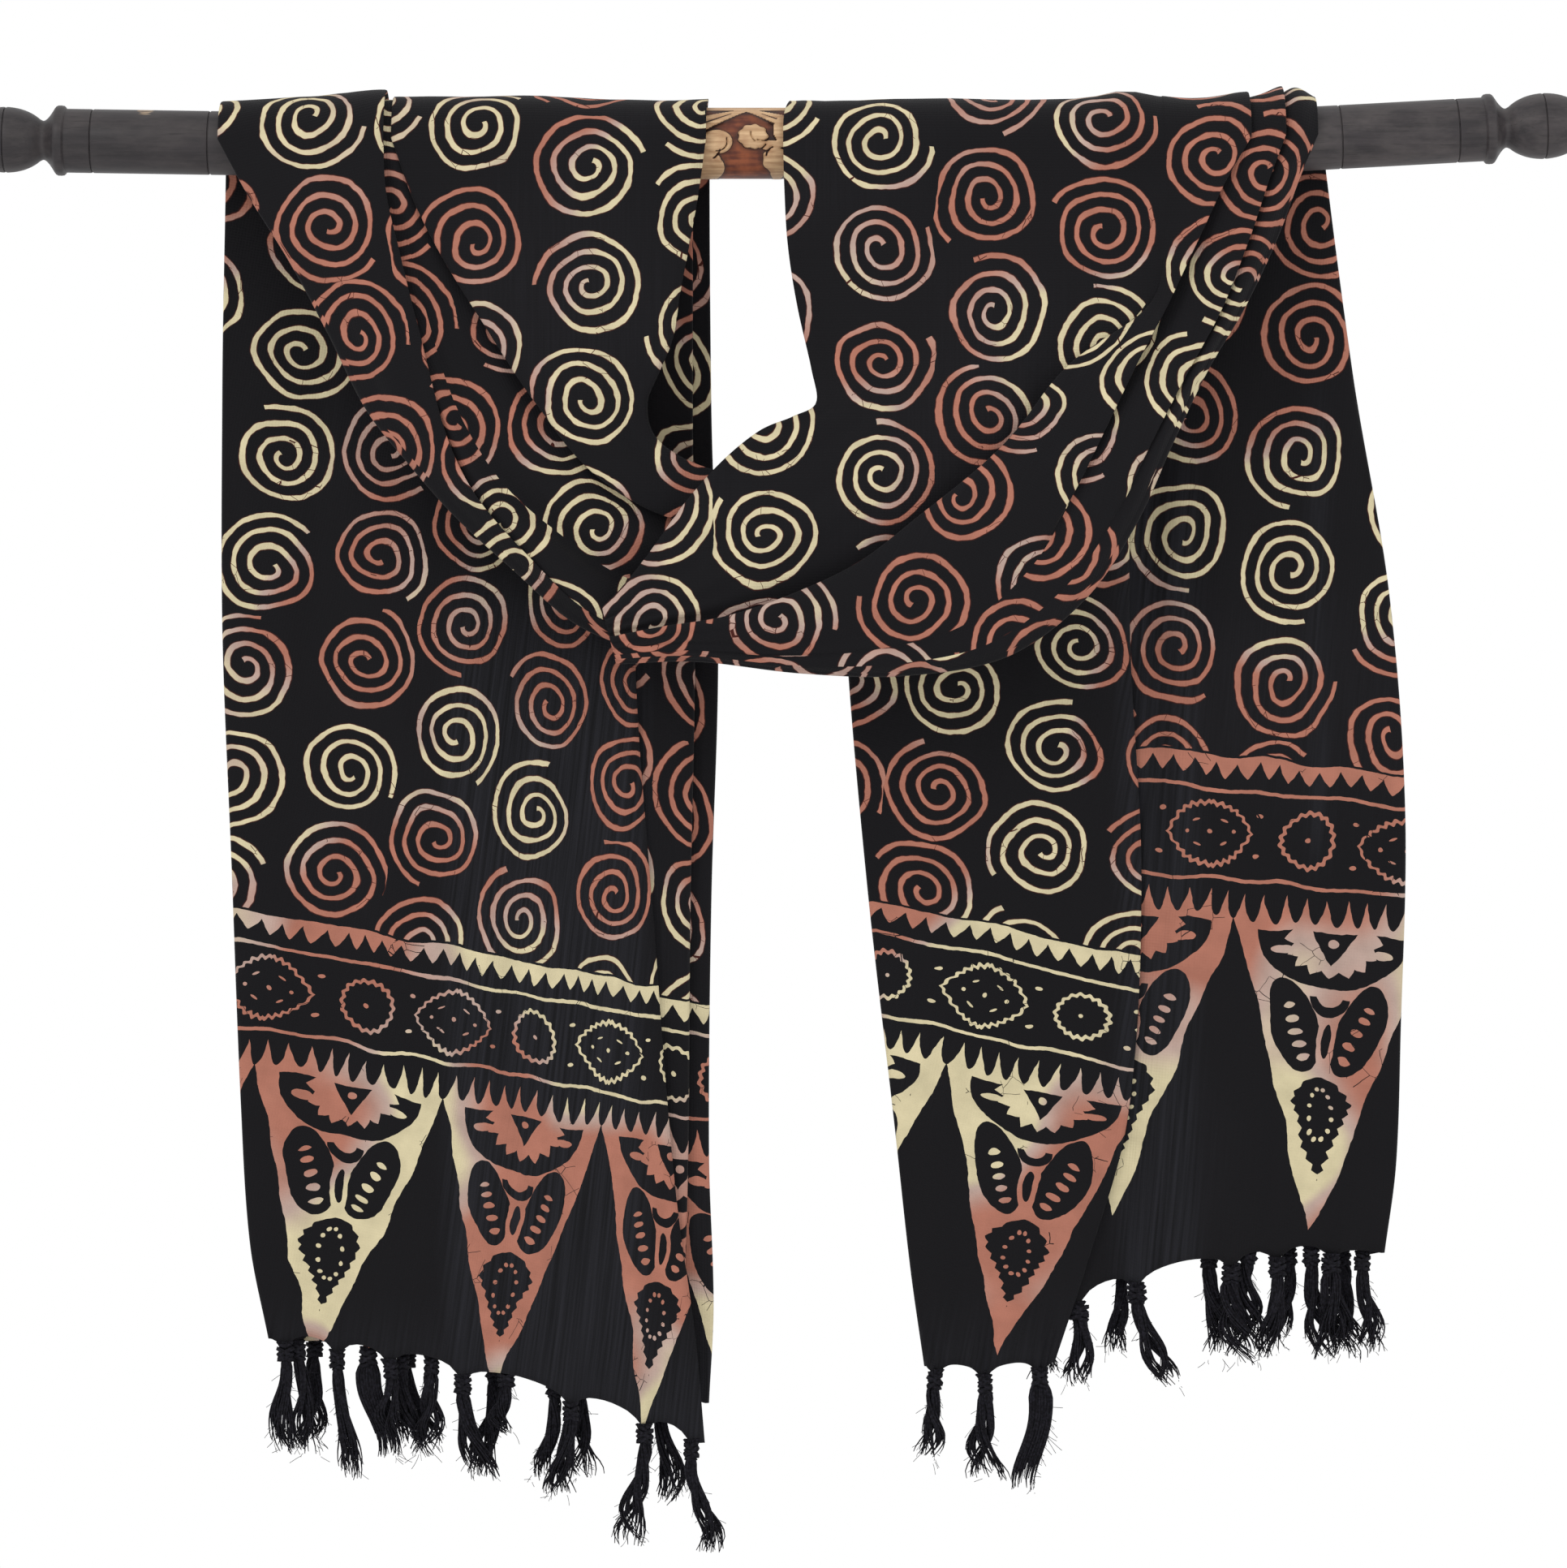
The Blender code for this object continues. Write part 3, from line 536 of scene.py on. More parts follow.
def swag_grid(side):
    """Rows of spots on half of the swag, from the seam behind the rod to the neck."""
    rows = []
    upper_x, _, lower_x, _ = side.outline[0]
    way = 1 if lower_x > upper_x else -1
    front = (len(side.folds) - 1) * SWAG_SPLIT
    section = band_section(side, 0.0, abs(lower_x - upper_x), WRAP_GAP)
    for i in range(WRAP_ROWS):
        turn = math.pi * (1 - i / WRAP_ROWS)
        fade = 1 - 0.75 * max(0.0, turn / math.pi - 0.5) * 2
        row = []
        for column, (reach, height) in enumerate(section):
            height = height * fade if height > 0 else height
            if column < front:
                height += fade * stand_off(side, reach, turn * 0.12)
            corner = side.corner * hill(reach / CORNER_WIDTH)
            point = wrap_point(upper_x + way * reach + corner * math.sin(turn) ** 4, height, turn)
            if i == 0:
                point.z = WRAP_END
            flat = Vector((point.x, 0, FRONT_PLY * turn))
            row.append(Spot(point, flat, Vector((way, 0, 0)), reach, height))
        rows.append(row)

    last = len(side.outline) - 1
    outline = [(i / last, *row) for i, row in enumerate(side.outline)]
    for i in range(SWAG_ROWS + 1):
        along = i / SWAG_ROWS
        upper_x, upper_z, lower_x, lower_z = smooth_steps(outline, along)
        front_y, gap = smooth_steps(side.depth, along)
        across = Vector((lower_x - upper_x, 0, lower_z - upper_z))
        chord = across.length
        across.normalize()
        calm = ease(along / 0.08)
        row = []
        for column, (reach, height) in enumerate(band_section(side, along, chord, gap)):
            if column < front:
                inside = ease(min(reach, chord - reach) / 8)
                height += ripple(reach * RIPPLE_WIDTH / chord, along, side.swag_seed) * calm * inside
                height += (1 - calm) * stand_off(side, reach, 0)
            point = Vector((upper_x, front_y - height, upper_z)) + across * reach
            flat = Vector((point.x, 0, point.z))
            point.z += rod_lift(point.x) * max(0.0, 1 - along / 0.25)
            row.append(Spot(point, flat, across, reach, height))
        rows.append(row)
    return rows


def arch(places, width, share):
    """How far the hem arches up at a share of a ply, between the tassels on it."""
    stops = [0.0, *sorted(places), 1.0]
    for a, b in zip(stops, stops[1:]):
        if a <= share <= b and b > a:
            f = (share - a) / (b - a)
            free_end = a == 0.0 or b == 1.0
            high = SCALLOP * min((b - a) * width, LONGEST_SCALLOP) * (FREE_SCALLOP if free_end else 1.0)
            return 4 * f * (1 - f) * high
    return 0.0


def hem_height(side, ply, share):
    low, high = side.hem[ply : ply + 2]
    return low + (high - low) * share + 4 * side.bow[ply] * share * (1 - share)


def ply_pitch(down):
    """From ply to ply, a share of the way down a tail: below the rod the stack loosens."""
    return TOP_PITCH + (LOW_PITCH - TOP_PITCH) * ease(down / 0.2)


def tail_y(side, x, down, ply):
    """Depth of a ply, with the creases that run down the tail."""
    depth = INNER_PLY + ply_pitch(down) * ply
    for x_top, x_hem, half_width, trough, start, end in side.creases:
        away = (x - x_top - (x_hem - x_top) * down) / half_width
        depth += trough * hill(away) * ease(min((down - start) / 0.15, (end - down) / 0.15))
    return depth


def tassel_places(side, ply):
    """Where the tassels on a ply are, as shares from its first edge."""
    xs = smooth_steps(side.edges, 1.0)
    rightwards = xs[ply + 1] > xs[ply]
    found = [row[0] for number, _, rows in side.tassels if number == ply for row in rows]
    return [place if rightwards else 1 - place for place in found]


def ply_grain(lie, way, x, z):
    """u and v of a place on a ply whose pattern lies as given."""
    tip_x, tip_z, slope, lean, drawn, let_out = lie
    across = x - tip_x
    above = z - tip_z - slope * across
    return Vector((way * (across + drawn * across * across) + lean * above, above * let_out))


def tail_grid(side):
    """Rows of spots on a tail folded to and fro in five plies."""
    rows = []
    shifts = [side.run] + [0.0] * (TAIL_PLIES - 1)
    places = [tassel_places(side, ply) for ply in range(TAIL_PLIES)]
    hem_xs = smooth_steps(side.edges, 1.0)
    for i in range(TAIL_ROWS + 1):
        down = i / TAIL_ROWS
        xs = smooth_steps(side.edges, down)
        half_pitch = ply_pitch(down) / 2
        near_hem = ease((down - 0.93) / 0.07)
        row = []
        end = None
        for ply in range(TAIL_PLIES):
            a, b = xs[ply], xs[ply + 1]
            way = 1 if b > a else -1
            steps = PLY_POINTS[ply]
            start = ply_grain(side.grain[ply], way, a, TAIL_TOP + (side.hem[ply] - TAIL_TOP) * down)
            if end and i == 0:
                shifts[ply] = end.x - start.x
                if ply == 1:
                    shifts[ply] = TRIANGLE * round(shifts[ply] / TRIANGLE)
            start.x += shifts[ply]
            jump = (end - start) if end else Vector((0, 0))
            for k in range(steps + 1):
                f = k / steps
                x = a + (b - a) * f
                y = tail_y(side, x, down, ply)
                z = TAIL_TOP + (hem_height(side, ply, f) - TAIL_TOP) * down
                settled = ease(f / GRAIN_SETTLES) if ply == 1 else f
                flat = ply_grain(side.grain[ply], way, x, z) + jump * (1 - settled)
                flat.x += shifts[ply]
                z += arch(places[ply], abs(hem_xs[ply + 1] - hem_xs[ply]), f) * near_hem
                if ply in SEEN_PLIES:
                    crumple = noise.noise(Vector((x / 9, z / 60, side.tail_seed + ply)))
                    y += 0.7 * crumple * ease(down / 0.15)
                pucker = noise.noise(Vector((x / 3.2, z / 45, side.tail_seed + 40 + ply)))
                y += 0.6 * pucker * ease((down - 0.88) / 0.12)
                for place in places[ply]:
                    away = (f - place) * abs(b - a)
                    y += 0.8 * hill(away / 4.5) * near_hem * math.cos(away * 2.1)
                    z -= PULLED * hill(away / GATHER) * ease((down - 0.965) / 0.035)
                row.append(Spot(Vector((x, y, z)), flat))
            if ply == TAIL_PLIES - 1:
                break
            for k in range(1, FOLD_POINTS + 1):
                angle = math.pi * k / (FOLD_POINTS + 1)
                x = b + way * half_pitch * math.sin(angle)
                y = tail_y(side, x, down, ply) + half_pitch * (1 - math.cos(angle))
                z = TAIL_TOP + (side.hem[ply + 1] - TAIL_TOP) * down
                row.append(Spot(Vector((x, y, z)), flat + Vector((half_pitch * angle, 0))))
            end = flat + Vector((half_pitch * math.pi, 0))
        rows.append(row)
    return rows


def smooth_mesh(name, bm, sharp_angle=180):
    """The mesh of a finished bmesh, shaded smooth but for edges sharper than an angle in degrees."""
    mesh = bpy.data.meshes.new(name)
    bm.to_mesh(mesh)
    bm.free()
    mesh.shade_smooth()
    if sharp_angle < 180:
        mesh.set_sharp_from_angle(angle=math.radians(sharp_angle))
    return mesh


def place_object(name, mesh, material):
    """The object of a finished mesh, in one material."""
    mesh.materials.clear()
    mesh.materials.append(material)
    obj = bpy.data.objects.new(name, mesh)
    bpy.context.scene.collection.objects.link(obj)
    return obj


def place_piece(name, mesh, material, node):
    """A piece of the part, in place of its CAD node and on the part's one body."""
    piece = place_object(name, mesh, material)
    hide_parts(node)
    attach(piece, "root")
    return piece


def make_cloth(name, rows, flip, flat_place, looseness, material, node):
    """A thin cloth through rows of spots.

    flat_place gives u and v in mm for a row and two columns, and looseness how loose the weave is at
    a point.
    """
    bm = bmesh.new()
    columns = len(rows[0])
    bmesh.ops.create_grid(bm, x_segments=columns - 1, y_segments=len(rows) - 1, size=1.0)
    bm.verts.ensure_lookup_table()
    sheer = bm.verts.layers.float.new("sheer")
    for index, vert in enumerate(bm.verts):
        row, column = divmod(index, columns)
        vert.co = rows[row][column].point * MM
        vert[sheer] = looseness(vert.co / MM)
    layer = bm.loops.layers.uv.new("Cloth")
    for face in bm.faces:
        first = min(loop.vert.index % columns for loop in face.loops)
        for loop in face.loops:
            u, v = flat_place(*divmod(loop.vert.index, columns), first)
            loop[layer].uv = (u * MM, v * MM)
    if flip:
        bmesh.ops.reverse_faces(bm, faces=bm.faces)
    cloth = place_piece(name, smooth_mesh(name, bm), material, node)
    solidify = cloth.modifiers.new("ply", "SOLIDIFY")
    solidify.thickness = PLY * MM
    solidify.offset = 0.0
    return cloth


def make_swag(side, material):
    """Half of the swag. The pattern runs on from panel to panel by the rod, and parts where edges overlap."""
    rows = swag_grid(side)
    names = [fold[0] for fold in side.folds]
    ends = [names.index(panel[0]) * SWAG_SPLIT for panel in side.panels]
    middles = [(a + b) // 2 for a, b in zip([0, *ends], ends)]
    lengths = []
    for row in rows:
        total = [0.0]
        for a, b in zip(row, row[1:]):
            total.append(total[-1] + math.dist((a.reach, a.height), (b.reach, b.height)))
        lengths.append(total)

    def grain(flat, panel):
        """A place's u and v on the grain of one panel."""
        _, turn, x, z, _, _ = side.panels[panel]
        pivot = Vector((x, 0, z))
        base = grain(pivot, panel - 1) if panel else Vector((side.start[0], 0, side.start[1]))
        return base + Matrix.Rotation(math.radians(turn), 3, "Y") @ (flat - pivot)

    def flat_place(row, column, first):
        own = next((k for k, end in enumerate(ends) if first < end), len(ends) - 1)
        along = (row - WRAP_ROWS) / SWAG_ROWS
        spot = rows[row][column]
        for panel in range(own + 1):
            middle = middles[panel]
            extra = lengths[row][column] - lengths[row][middle] - (spot.reach - rows[row][middle].reach)
            here = grain(spot.flat + spot.across * (extra if first < ends[-1] else 0.0), panel)
            if panel == 0:
                place = here
            else:
                _, _, _, _, begin, end = side.panels[panel]
                place = place.lerp(here, ease((along - begin) / (end - begin)))
        return place.x, place.z

    name = "draped_" + side.name
    return make_cloth(name, rows, side.flip, flat_place, lambda point: 0.0, material, "swag_" + side.name)


def tail_looseness(point):
    """How much a point of a tail is in a stretch of looser weave."""
    found = 0.0
    for left, right, top, bottom in SHEER:
        sides = ease((point.x - left) / 12) * ease((right - point.x) / 12)
        found = max(found, sides * ease((top - point.z) / 60) * ease((point.z - bottom) / 40))
    return found


def make_tail(side, material):
    rows = tail_grid(side)

    def flat_place(row, column, first):
        return rows[row][column].flat

    name = "hanging_" + side.name
    return make_cloth(name, rows, False, flat_place, tail_looseness, material, "tail_" + side.name)


def make_tassels(side, material):
    """The fringe of one tail, a tassel for each gathered stretch of warp."""
    made = []
    xs = smooth_steps(side.edges, 1.0)
    for ply, girth, rows in side.tassels:
        a, b = xs[ply], xs[ply + 1]
        for place, length, drift in rows:
            share = place if b > a else 1 - place
            x = a + (b - a) * share
            root = Vector((x, tail_y(side, x, 1.0, ply), hem_height(side, ply, share) - HEM_GAP))
            room = (max(min(a, b) + 1 - x, -GATHER), min(max(a, b) - 1 - x, GATHER))
            number = f"{side.name}_{len(made) + 1:02d}"
            mesh = yarn_mesh(tassel_strands(number, root, room, length, drift, girth))
            made.append(place_piece("fringe_" + number, mesh, material, "tassel_" + number))
    return made


def tassel_strands(number, root, room, length, drift, girth):
    """Warp yarns gathered from the hem into a knot, and below it twisted strands that fray at their ends.

    Gives a line of points and its yarn's radii for each yarn, for the two that tie the knot and for
    each loose hair.
    """
    pick = random.Random(number)
    flat = number in FLAT_LOCKS
    sway = pick.uniform(1.5, 5.0) * pick.choice((-1, 1))
    twist = pick.uniform(0.4, 1.1) * pick.choice((-1, 1))
    phase = pick.uniform(0, 6.28)
    knot_size = girth
    girth *= pick.uniform(0.95, 1.45)
    partings = [pick.uniform(0.5, 3.4) * girth for _ in range(LOCKS)]
    lengths = [pick.uniform(0.86, 1.0) for _ in range(LOCKS)]
    knot = 5.0 / length
    ball = pick.uniform(2.9, 4.1) * knot_size
    strands = []

    def centre(down):
        side = drift * down**1.4 + sway * math.sin(math.pi * 1.7 * down + phase * 0.2) * down
        return root + Vector((side, math.sin(4 * down + phase) * down, -length * down))

    for k in range(LOCKS * YARNS):
        lock = k % LOCKS
        rank = (k + 0.5) / (LOCKS * YARNS)
        rho = 1.5 * girth * math.sqrt(pick.uniform(0.02, 1.0))
        angle = pick.uniform(0, 2 * math.pi)
        reach = lengths[lock] * (1 - 0.3 * pick.random() ** 2)
        spread = room[0] + (room[1] - room[0]) * rank
        wild = Vector((pick.uniform(-1, 1), pick.uniform(-0.4, 0.4), pick.uniform(-0.2, 0.6)))
        curl = pick.uniform(7, 14)
        points = []
        for step in range(YARN_POINTS):
            down = step / (YARN_POINTS - 1) * reach
            if flat:
                x = 5.0 * (rank * 2 - 1) + 0.2 * math.sin(curl + 9 * down)
                offset = Vector((x, 0.3 * math.cos(k), 0))
                fray = 0.4 * ease((down - 0.85) / 0.15)
            else:
                around = 2 * math.pi * (lock / LOCKS + twist * down) + phase
                away = 1.5 * girth + partings[lock] * ease((down - 0.3) / 0.45)
                strand = Vector((math.cos(around), math.sin(around) * 0.45, 0)) * away
                loose = 1 + 0.9 * ease((down - 0.4) / 0.55)
                own = Vector((math.cos(angle + 3 * down), math.sin(angle + 3 * down) * 0.5, 0))
                offset = strand + own * rho * loose
                fray = ease((down - 0.6) / 0.4)
            offset *= 0.5 + 0.5 * ease((down - knot) / 0.14)
            offset.x += (spread - offset.x) * (1 - ease(down / knot))
            offset += wild * 2.6 * fray
            offset.x += 1.1 * fray * math.sin(curl * down + angle)
            points.append(centre(down) + offset)
        strands.append((points, [1.0] * (YARN_POINTS - len(YARN_TAPER)) + [*YARN_TAPER]))
    for slant in (-1, 1):
        points = []
        for step in range(KNOT_POINTS):
            turn = slant * 2 * math.pi * step / 12 + phase
            share = step / (KNOT_POINTS - 1)
            ring = Vector((ball * math.cos(turn), 0.65 * ball * math.sin(turn), 2.0 * slant * math.cos(turn)))
            lump = 1 - 0.45 * (2 * share - 1) ** 2
            points.append(centre(knot * (0.45 + 1.1 * share)) + ring * lump)
        strands.append((points, [KNOT_YARN] * KNOT_POINTS))
    for _ in range(HAIRS):
        down = pick.uniform(0.25, 0.98)
        side = 1 if flat else pick.choice((-1, 1))
        start = 4.6 if flat else (1.5 + 2.5 * down) * girth
        at = centre(down) + Vector((side * start * pick.uniform(0.6, 1.1), pick.uniform(-1, 1), 0))
        lean = Vector((side * pick.uniform(0.1, 1), pick.uniform(-0.5, 0.5), pick.uniform(-1.2, 0.1)))
        bend = Vector((pick.uniform(-1, 1), 0, pick.uniform(-1, 0.3)))
        size = pick.uniform(1.5, 4.5)
        shares = [step / HAIR_STEPS for step in range(HAIR_STEPS + 1)]
        points = [at + lean * size * f + bend * size * f**2 * 0.6 for f in shares]
        strands.append((points, [HAIR_RADIUS / YARN_RADIUS] * len(points)))
    return strands


def yarn_mesh(strands):
    """Round yarns through lines of points, in one mesh."""
    curve = bpy.data.curves.new("yarns", "CURVE")
    curve.dimensions = "3D"
    curve.bevel_depth = YARN_RADIUS * MM
    curve.bevel_resolution = 0
    curve.use_fill_caps = True
    for points, radii in strands:
        spline = curve.splines.new("POLY")
        spline.points.add(len(points) - 1)
        for point, at, radius in zip(spline.points, points, radii):
            point.co = (*(at * MM), 1.0)
            point.radius = radius
    source = bpy.data.objects.new("yarns", curve)
    bpy.context.scene.collection.objects.link(source)
    evaluated = source.evaluated_get(bpy.context.evaluated_depsgraph_get())
    mesh = bpy.data.meshes.new_from_object(evaluated)
    bpy.data.objects.remove(source)
    bpy.data.curves.remove(curve)
    return mesh


def groove(at, radius):
    """A line cut with the point of a chisel, with its edges just broken."""
    return [(at + along, radius - depth) for along, depth in GROOVE]


def rod_end_profile(collar, tilt):
    """Shaft with two cut lines, collar, cove, and an egg-shaped finial with one more line."""
    start = SEAM + END_RADIUS * math.sin(math.radians(tilt))
    profile = [(start, 0.0), (start, END_RADIUS - 0.4), (start + 0.4, END_RADIUS)]
    for place in GROOVES:
        profile += groove(collar + place, END_RADIUS)
    profile += [(collar + along, radius) for along, radius in COLLAR]
    for degrees in range(140, -1, -5):
        angle = math.radians(degrees)
        half = FINIAL_HALVES[0 if degrees > 90 else 1]
        along = collar + FINIAL_CENTRE + half * math.cos(angle)
        if degrees == 90:
            profile += groove(along, FINIAL_RADIUS)
        else:
            profile.append((along, max(FINIAL_RADIUS * math.sin(angle), 0.0)))
    return profile


def make_rod_end(side, way, x, tilt, collar, material):
    """A turned end of the rod: its profile is spun round, and laid along its tilt from the bar's end."""
    bm = bmesh.new()
    verts = [bm.verts.new((0, radius * MM, along * MM)) for along, radius in rod_end_profile(collar, tilt)]
    for a, b in zip(verts, verts[1:]):
        bm.edges.new((a, b))
    bmesh.ops.spin(
        bm,
        geom=bm.verts[:] + bm.edges[:],
        axis=(0, 0, 1),
        cent=(0, 0, 0),
        steps=ROD_STEPS,
        angle=2 * math.pi,
        use_merge=True,
    )
    bmesh.ops.remove_doubles(bm, verts=bm.verts, dist=1e-6)
    bmesh.ops.recalc_face_normals(bm, faces=bm.faces)
    tilted = Matrix.Rotation(-way * math.radians(tilt), 4, "Y") @ Matrix.Rotation(way * math.pi / 2, 4, "Y")
    bm.transform(Matrix.Translation((x * MM, 0, 0)) @ tilted)
    name = f"turned_{side}_end"
    return place_piece(name, smooth_mesh(name, bm, 35), material, f"rod_{side}_end")


def boss(x, z, cx, cz, width, height, lobes):
    """How far a place is inside a rounded, lobed boss: 1 at its middle and 0 on its edge."""
    dx, dz = (x - cx) / width, (z - cz) / height
    angle = math.atan2(dz, dx)
    return 1 - math.hypot(dx, dz) / (1 + 0.05 * math.cos(lobes * angle))


def knife_cut(x, z, cx, cz, radius, start, end):
    """How close a place is to a knife cut that curves about a centre, 1 on the cut."""
    angle = (math.degrees(math.atan2(z - cz, x - cx)) - start) % 360
    return hill((math.hypot(x - cx, z - cz) - radius) / 0.42) if angle <= end - start else 0.0


def carving(x, z):
    """How far the carving stands out at a place across the bar, seen from the front.

    A plain strip runs along the top. Under it two ribs meet in a point, and scrolls with leaves curl
    in from both sides. The design is mirrored from one repeat to the next.
    """
    x = CARVED_MIDDLE - abs((x - CARVED_MIDDLE + CARVED_REPEAT) % (2 * CARVED_REPEAT) - CARVED_REPEAT)
    if z > STRIP_BOTTOM:
        return CARVED_DEPTH
    out = abs(x - RIB_MIDDLE)
    underside = STRIP_BOTTOM - 0.7 - 0.30 * out**1.16
    rib_top = STRIP_BOTTOM - 0.20 * max(0.0, out - 5.0)
    if z > rib_top:
        return 0.0
    height = 0.0
    if z > underside:
        bevel = (z - underside) / max(rib_top - underside, 0.1)
        height = 1.5 - hill((bevel - 0.6) / 0.11) * ease((out - 4) / 3)
    if x > -5.2 and z > -3.5 - 0.4 * (x + 4) and x > -4.4 + 0.07 * (z - 4.5) ** 2:
        height = max(height, 1.45 - 0.02 * (x + 1.5) ** 2)
    for *shape, top in BOSSES:
        inside = boss(x, z, *shape)
        if inside > 0:
            height = max(height, top * min(1.0, inside * 6) ** 0.5 + 0.25 * inside)
    return max(0.0, height - 1.25 * max(knife_cut(x, z, *curve) for curve in KNIFE_CUTS))


def make_bar(material):
    """The carved bar, with its relief on the stretch that the cloth leaves bare in front or behind."""
    count = int((CARVED_TO - CARVED_FROM) / CARVED_STEP) + 1
    xs = [BAR_LEFT, BAR_LEFT + 1, CARVED_FROM - 8]
    xs += [CARVED_FROM + CARVED_STEP * k for k in range(count)]
    xs += [CARVED_TO + 8, BAR_RIGHT - 1, BAR_RIGHT]
    turns = [2 * math.pi * column / CARVED_ROUND for column in range(CARVED_ROUND + 1)]
    bm = bmesh.new()
    bmesh.ops.create_grid(bm, x_segments=CARVED_ROUND, y_segments=len(xs) - 1, size=1.0)
    bm.verts.ensure_lookup_table()
    relief = bm.verts.layers.float.new("relief")
    recess = bm.verts.layers.float.new("recess")
    heights = []
    for x in xs:
        bare = CARVED_FROM <= x <= CARVED_TO
        heights.append([carving(x, BAR_RADIUS * math.sin(turn)) if bare else CARVED_DEPTH for turn in turns])
    for index, vert in enumerate(bm.verts):
        row, column = divmod(index, CARVED_ROUND + 1)
        turn, height = turns[column], heights[row][column]
        # The relief grows shallow towards the top and the bottom of the bar
        shallow = 1 - 0.85 * ease((abs(math.sin(turn)) - 0.5) / 0.35)
        radius = BAR_RADIUS - (CARVED_DEPTH - min(height, CARVED_DEPTH)) * shallow
        vert.co = Vector((xs[row], -radius * math.cos(turn), radius * math.sin(turn))) * MM
        vert[relief] = min(1.0, height)
        # How much lower a place lies than the places round it: the share of shade painted into the deep
        # corners
        near = [
            heights[max(0, min(len(xs) - 1, row + i))][(column + j) % CARVED_ROUND] for i, j in RECESS_SHADE_LOOK
        ]
        vert[recess] = min(1.0, max(0.0, (sum(near) / len(near) - height) / 0.9))
    bmesh.ops.remove_doubles(bm, verts=bm.verts, dist=1e-6)
    bmesh.ops.holes_fill(bm, edges=[edge for edge in bm.edges if edge.is_boundary], sides=0)
    bmesh.ops.recalc_face_normals(bm, faces=bm.faces)
    return place_piece("carved_bar", smooth_mesh("carved_bar", bm, 60), material, "rod_bar")


def new_material(name, base, roughness, specular):
    """A material in plain values, with the function that adds nodes to it, and its shader."""
    material = bpy.data.materials.new(name)
    material.use_nodes = True
    shader = material.node_tree.nodes["Principled BSDF"]
    shader.inputs["Base Color"].default_value = linear(base)
    shader.inputs["Roughness"].default_value = roughness
    shader.inputs["Specular IOR Level"].default_value = specular
    return material, functools.partial(add_node, material.node_tree), shader


def wire(shader, **patterns):
    """Links patterns to the shader's sockets, named as base_color is."""
    for name, pattern in patterns.items():
        shader.id_data.links.new(pattern, shader.inputs[name.replace("_", " ").title()])


def wobbled_cloth(add):
    """Places on the flat cloth, and the same places shaken a little as a hand-held wax pen shakes."""
    cloth = add("UVMap", uv_map="Cloth")
    shaken = cloth
    for scale, detail, strays in WAX_SHAKES:
        shake = add("TexNoise", cloth, scale, detail, out="Color")
        shake = add("VectorMath SUBTRACT", shake, (0.5, 0.5, 0.5))
        shaken = add("VectorMath MULTIPLY_ADD", shake, (strays, strays, 0), shaken)
    return cloth, shaken


def spirals(add, place):
    """Wax spirals in staggered columns: the line, its dark rim, and a random number for each spiral."""
    u, v, _ = add("SeparateXYZ", place).node.outputs
    column = add("Math DIVIDE", u, COLUMN)
    index = add("Math FLOOR", column)
    stagger = add("Math MULTIPLY", add("TexWhiteNoise", index, noise_dimensions="1D"), 0.3)
    stagger = add("Math MULTIPLY_ADD", index, 0.38, stagger)
    lattice = add("CombineXYZ", column, add("Math MULTIPLY_ADD", v, 1 / ROW, stagger))
    chance = add("TexWhiteNoise", add("VectorMath FLOOR", lattice), out="Color")
    first, second, third = add("SeparateXYZ", chance).node.outputs
    local = add("VectorMath SUBTRACT", add("VectorMath FRACTION", lattice), (0.5, 0.5, 0))
    local = add("VectorMath MULTIPLY", local, (COLUMN, ROW, 0))
    drift = add("VectorMath SUBTRACT", chance, (0.5, 0.5, 0.5))
    local = add("VectorMath MULTIPLY_ADD", drift, (0.003, 0.003, 0), local)

    # Each one starts at its own angle, and most curl the same way
    hand = add("Math SIGN", add("Math SUBTRACT", second, 0.4))
    angle = add("Math MULTIPLY_ADD", add("TexGradient RADIAL", local, out="Fac"), hand, first)
    rings = add("Math DIVIDE", add("VectorMath LENGTH", local), RING)
    phase = add("Math FRACT", add("Math SUBTRACT", rings, angle))
    run = add("Math SUBTRACT", rings, phase)
    on_run = add("Math LESS_THAN", run, add("Math MULTIPLY_ADD", third, 0.28, 2.80))
    on_run = add("Math MULTIPLY", on_run, add("Math GREATER_THAN", run, -0.12))
    away = add("Math ABSOLUTE", add("Math SUBTRACT", phase, 0.5))
    swell = add("TexNoise", place, 110.0, 1.0)
    half = add("Math MULTIPLY_ADD", swell, 0.0010, LINE / 2 - 0.0005)
    gap = add("Math SUBTRACT", add("Math MULTIPLY", away, RING), half)
    line = add("Math MULTIPLY", add("MapRange", gap, -0.0001, 0.0001, 1.0, 0.0), on_run)
    rim = add("Math MULTIPLY", add("MapRange", gap, 0.0001, 0.0005, 1.0, 0.0), on_run)
    return line, rim, third


def ellipse(add, point, centre, half_width, half_height, tilt=0):
    """1 inside an ellipse and 0 outside it, all in millimetres."""
    at = add("VectorMath SUBTRACT", point, (*centre, 0))
    if tilt:
        at = add("VectorRotate Z_AXIS", at, None, math.radians(tilt))
    at = add("VectorMath MULTIPLY", at, (1 / half_width, 1 / half_height, 0))
    return add("Math LESS_THAN", add("VectorMath LENGTH", at), 1.0)


def joined(add, *shapes):
    """Shapes laid over each other as one."""
    return functools.reduce(functools.partial(add, "Math MAXIMUM"), shapes)


def without(add, shape, *holes):
    """A shape with others cut out of it."""
    return functools.reduce(functools.partial(add, "Math SUBTRACT", use_clamp=True), holes, shape)


def waves(add, point, count):
    """A wave from -1 to 1, with as many crests round a middle as count says."""
    angle = add("TexGradient RADIAL", point, out="Fac")
    return add("Math SINE", add("Math MULTIPLY", angle, 2 * math.pi * count))


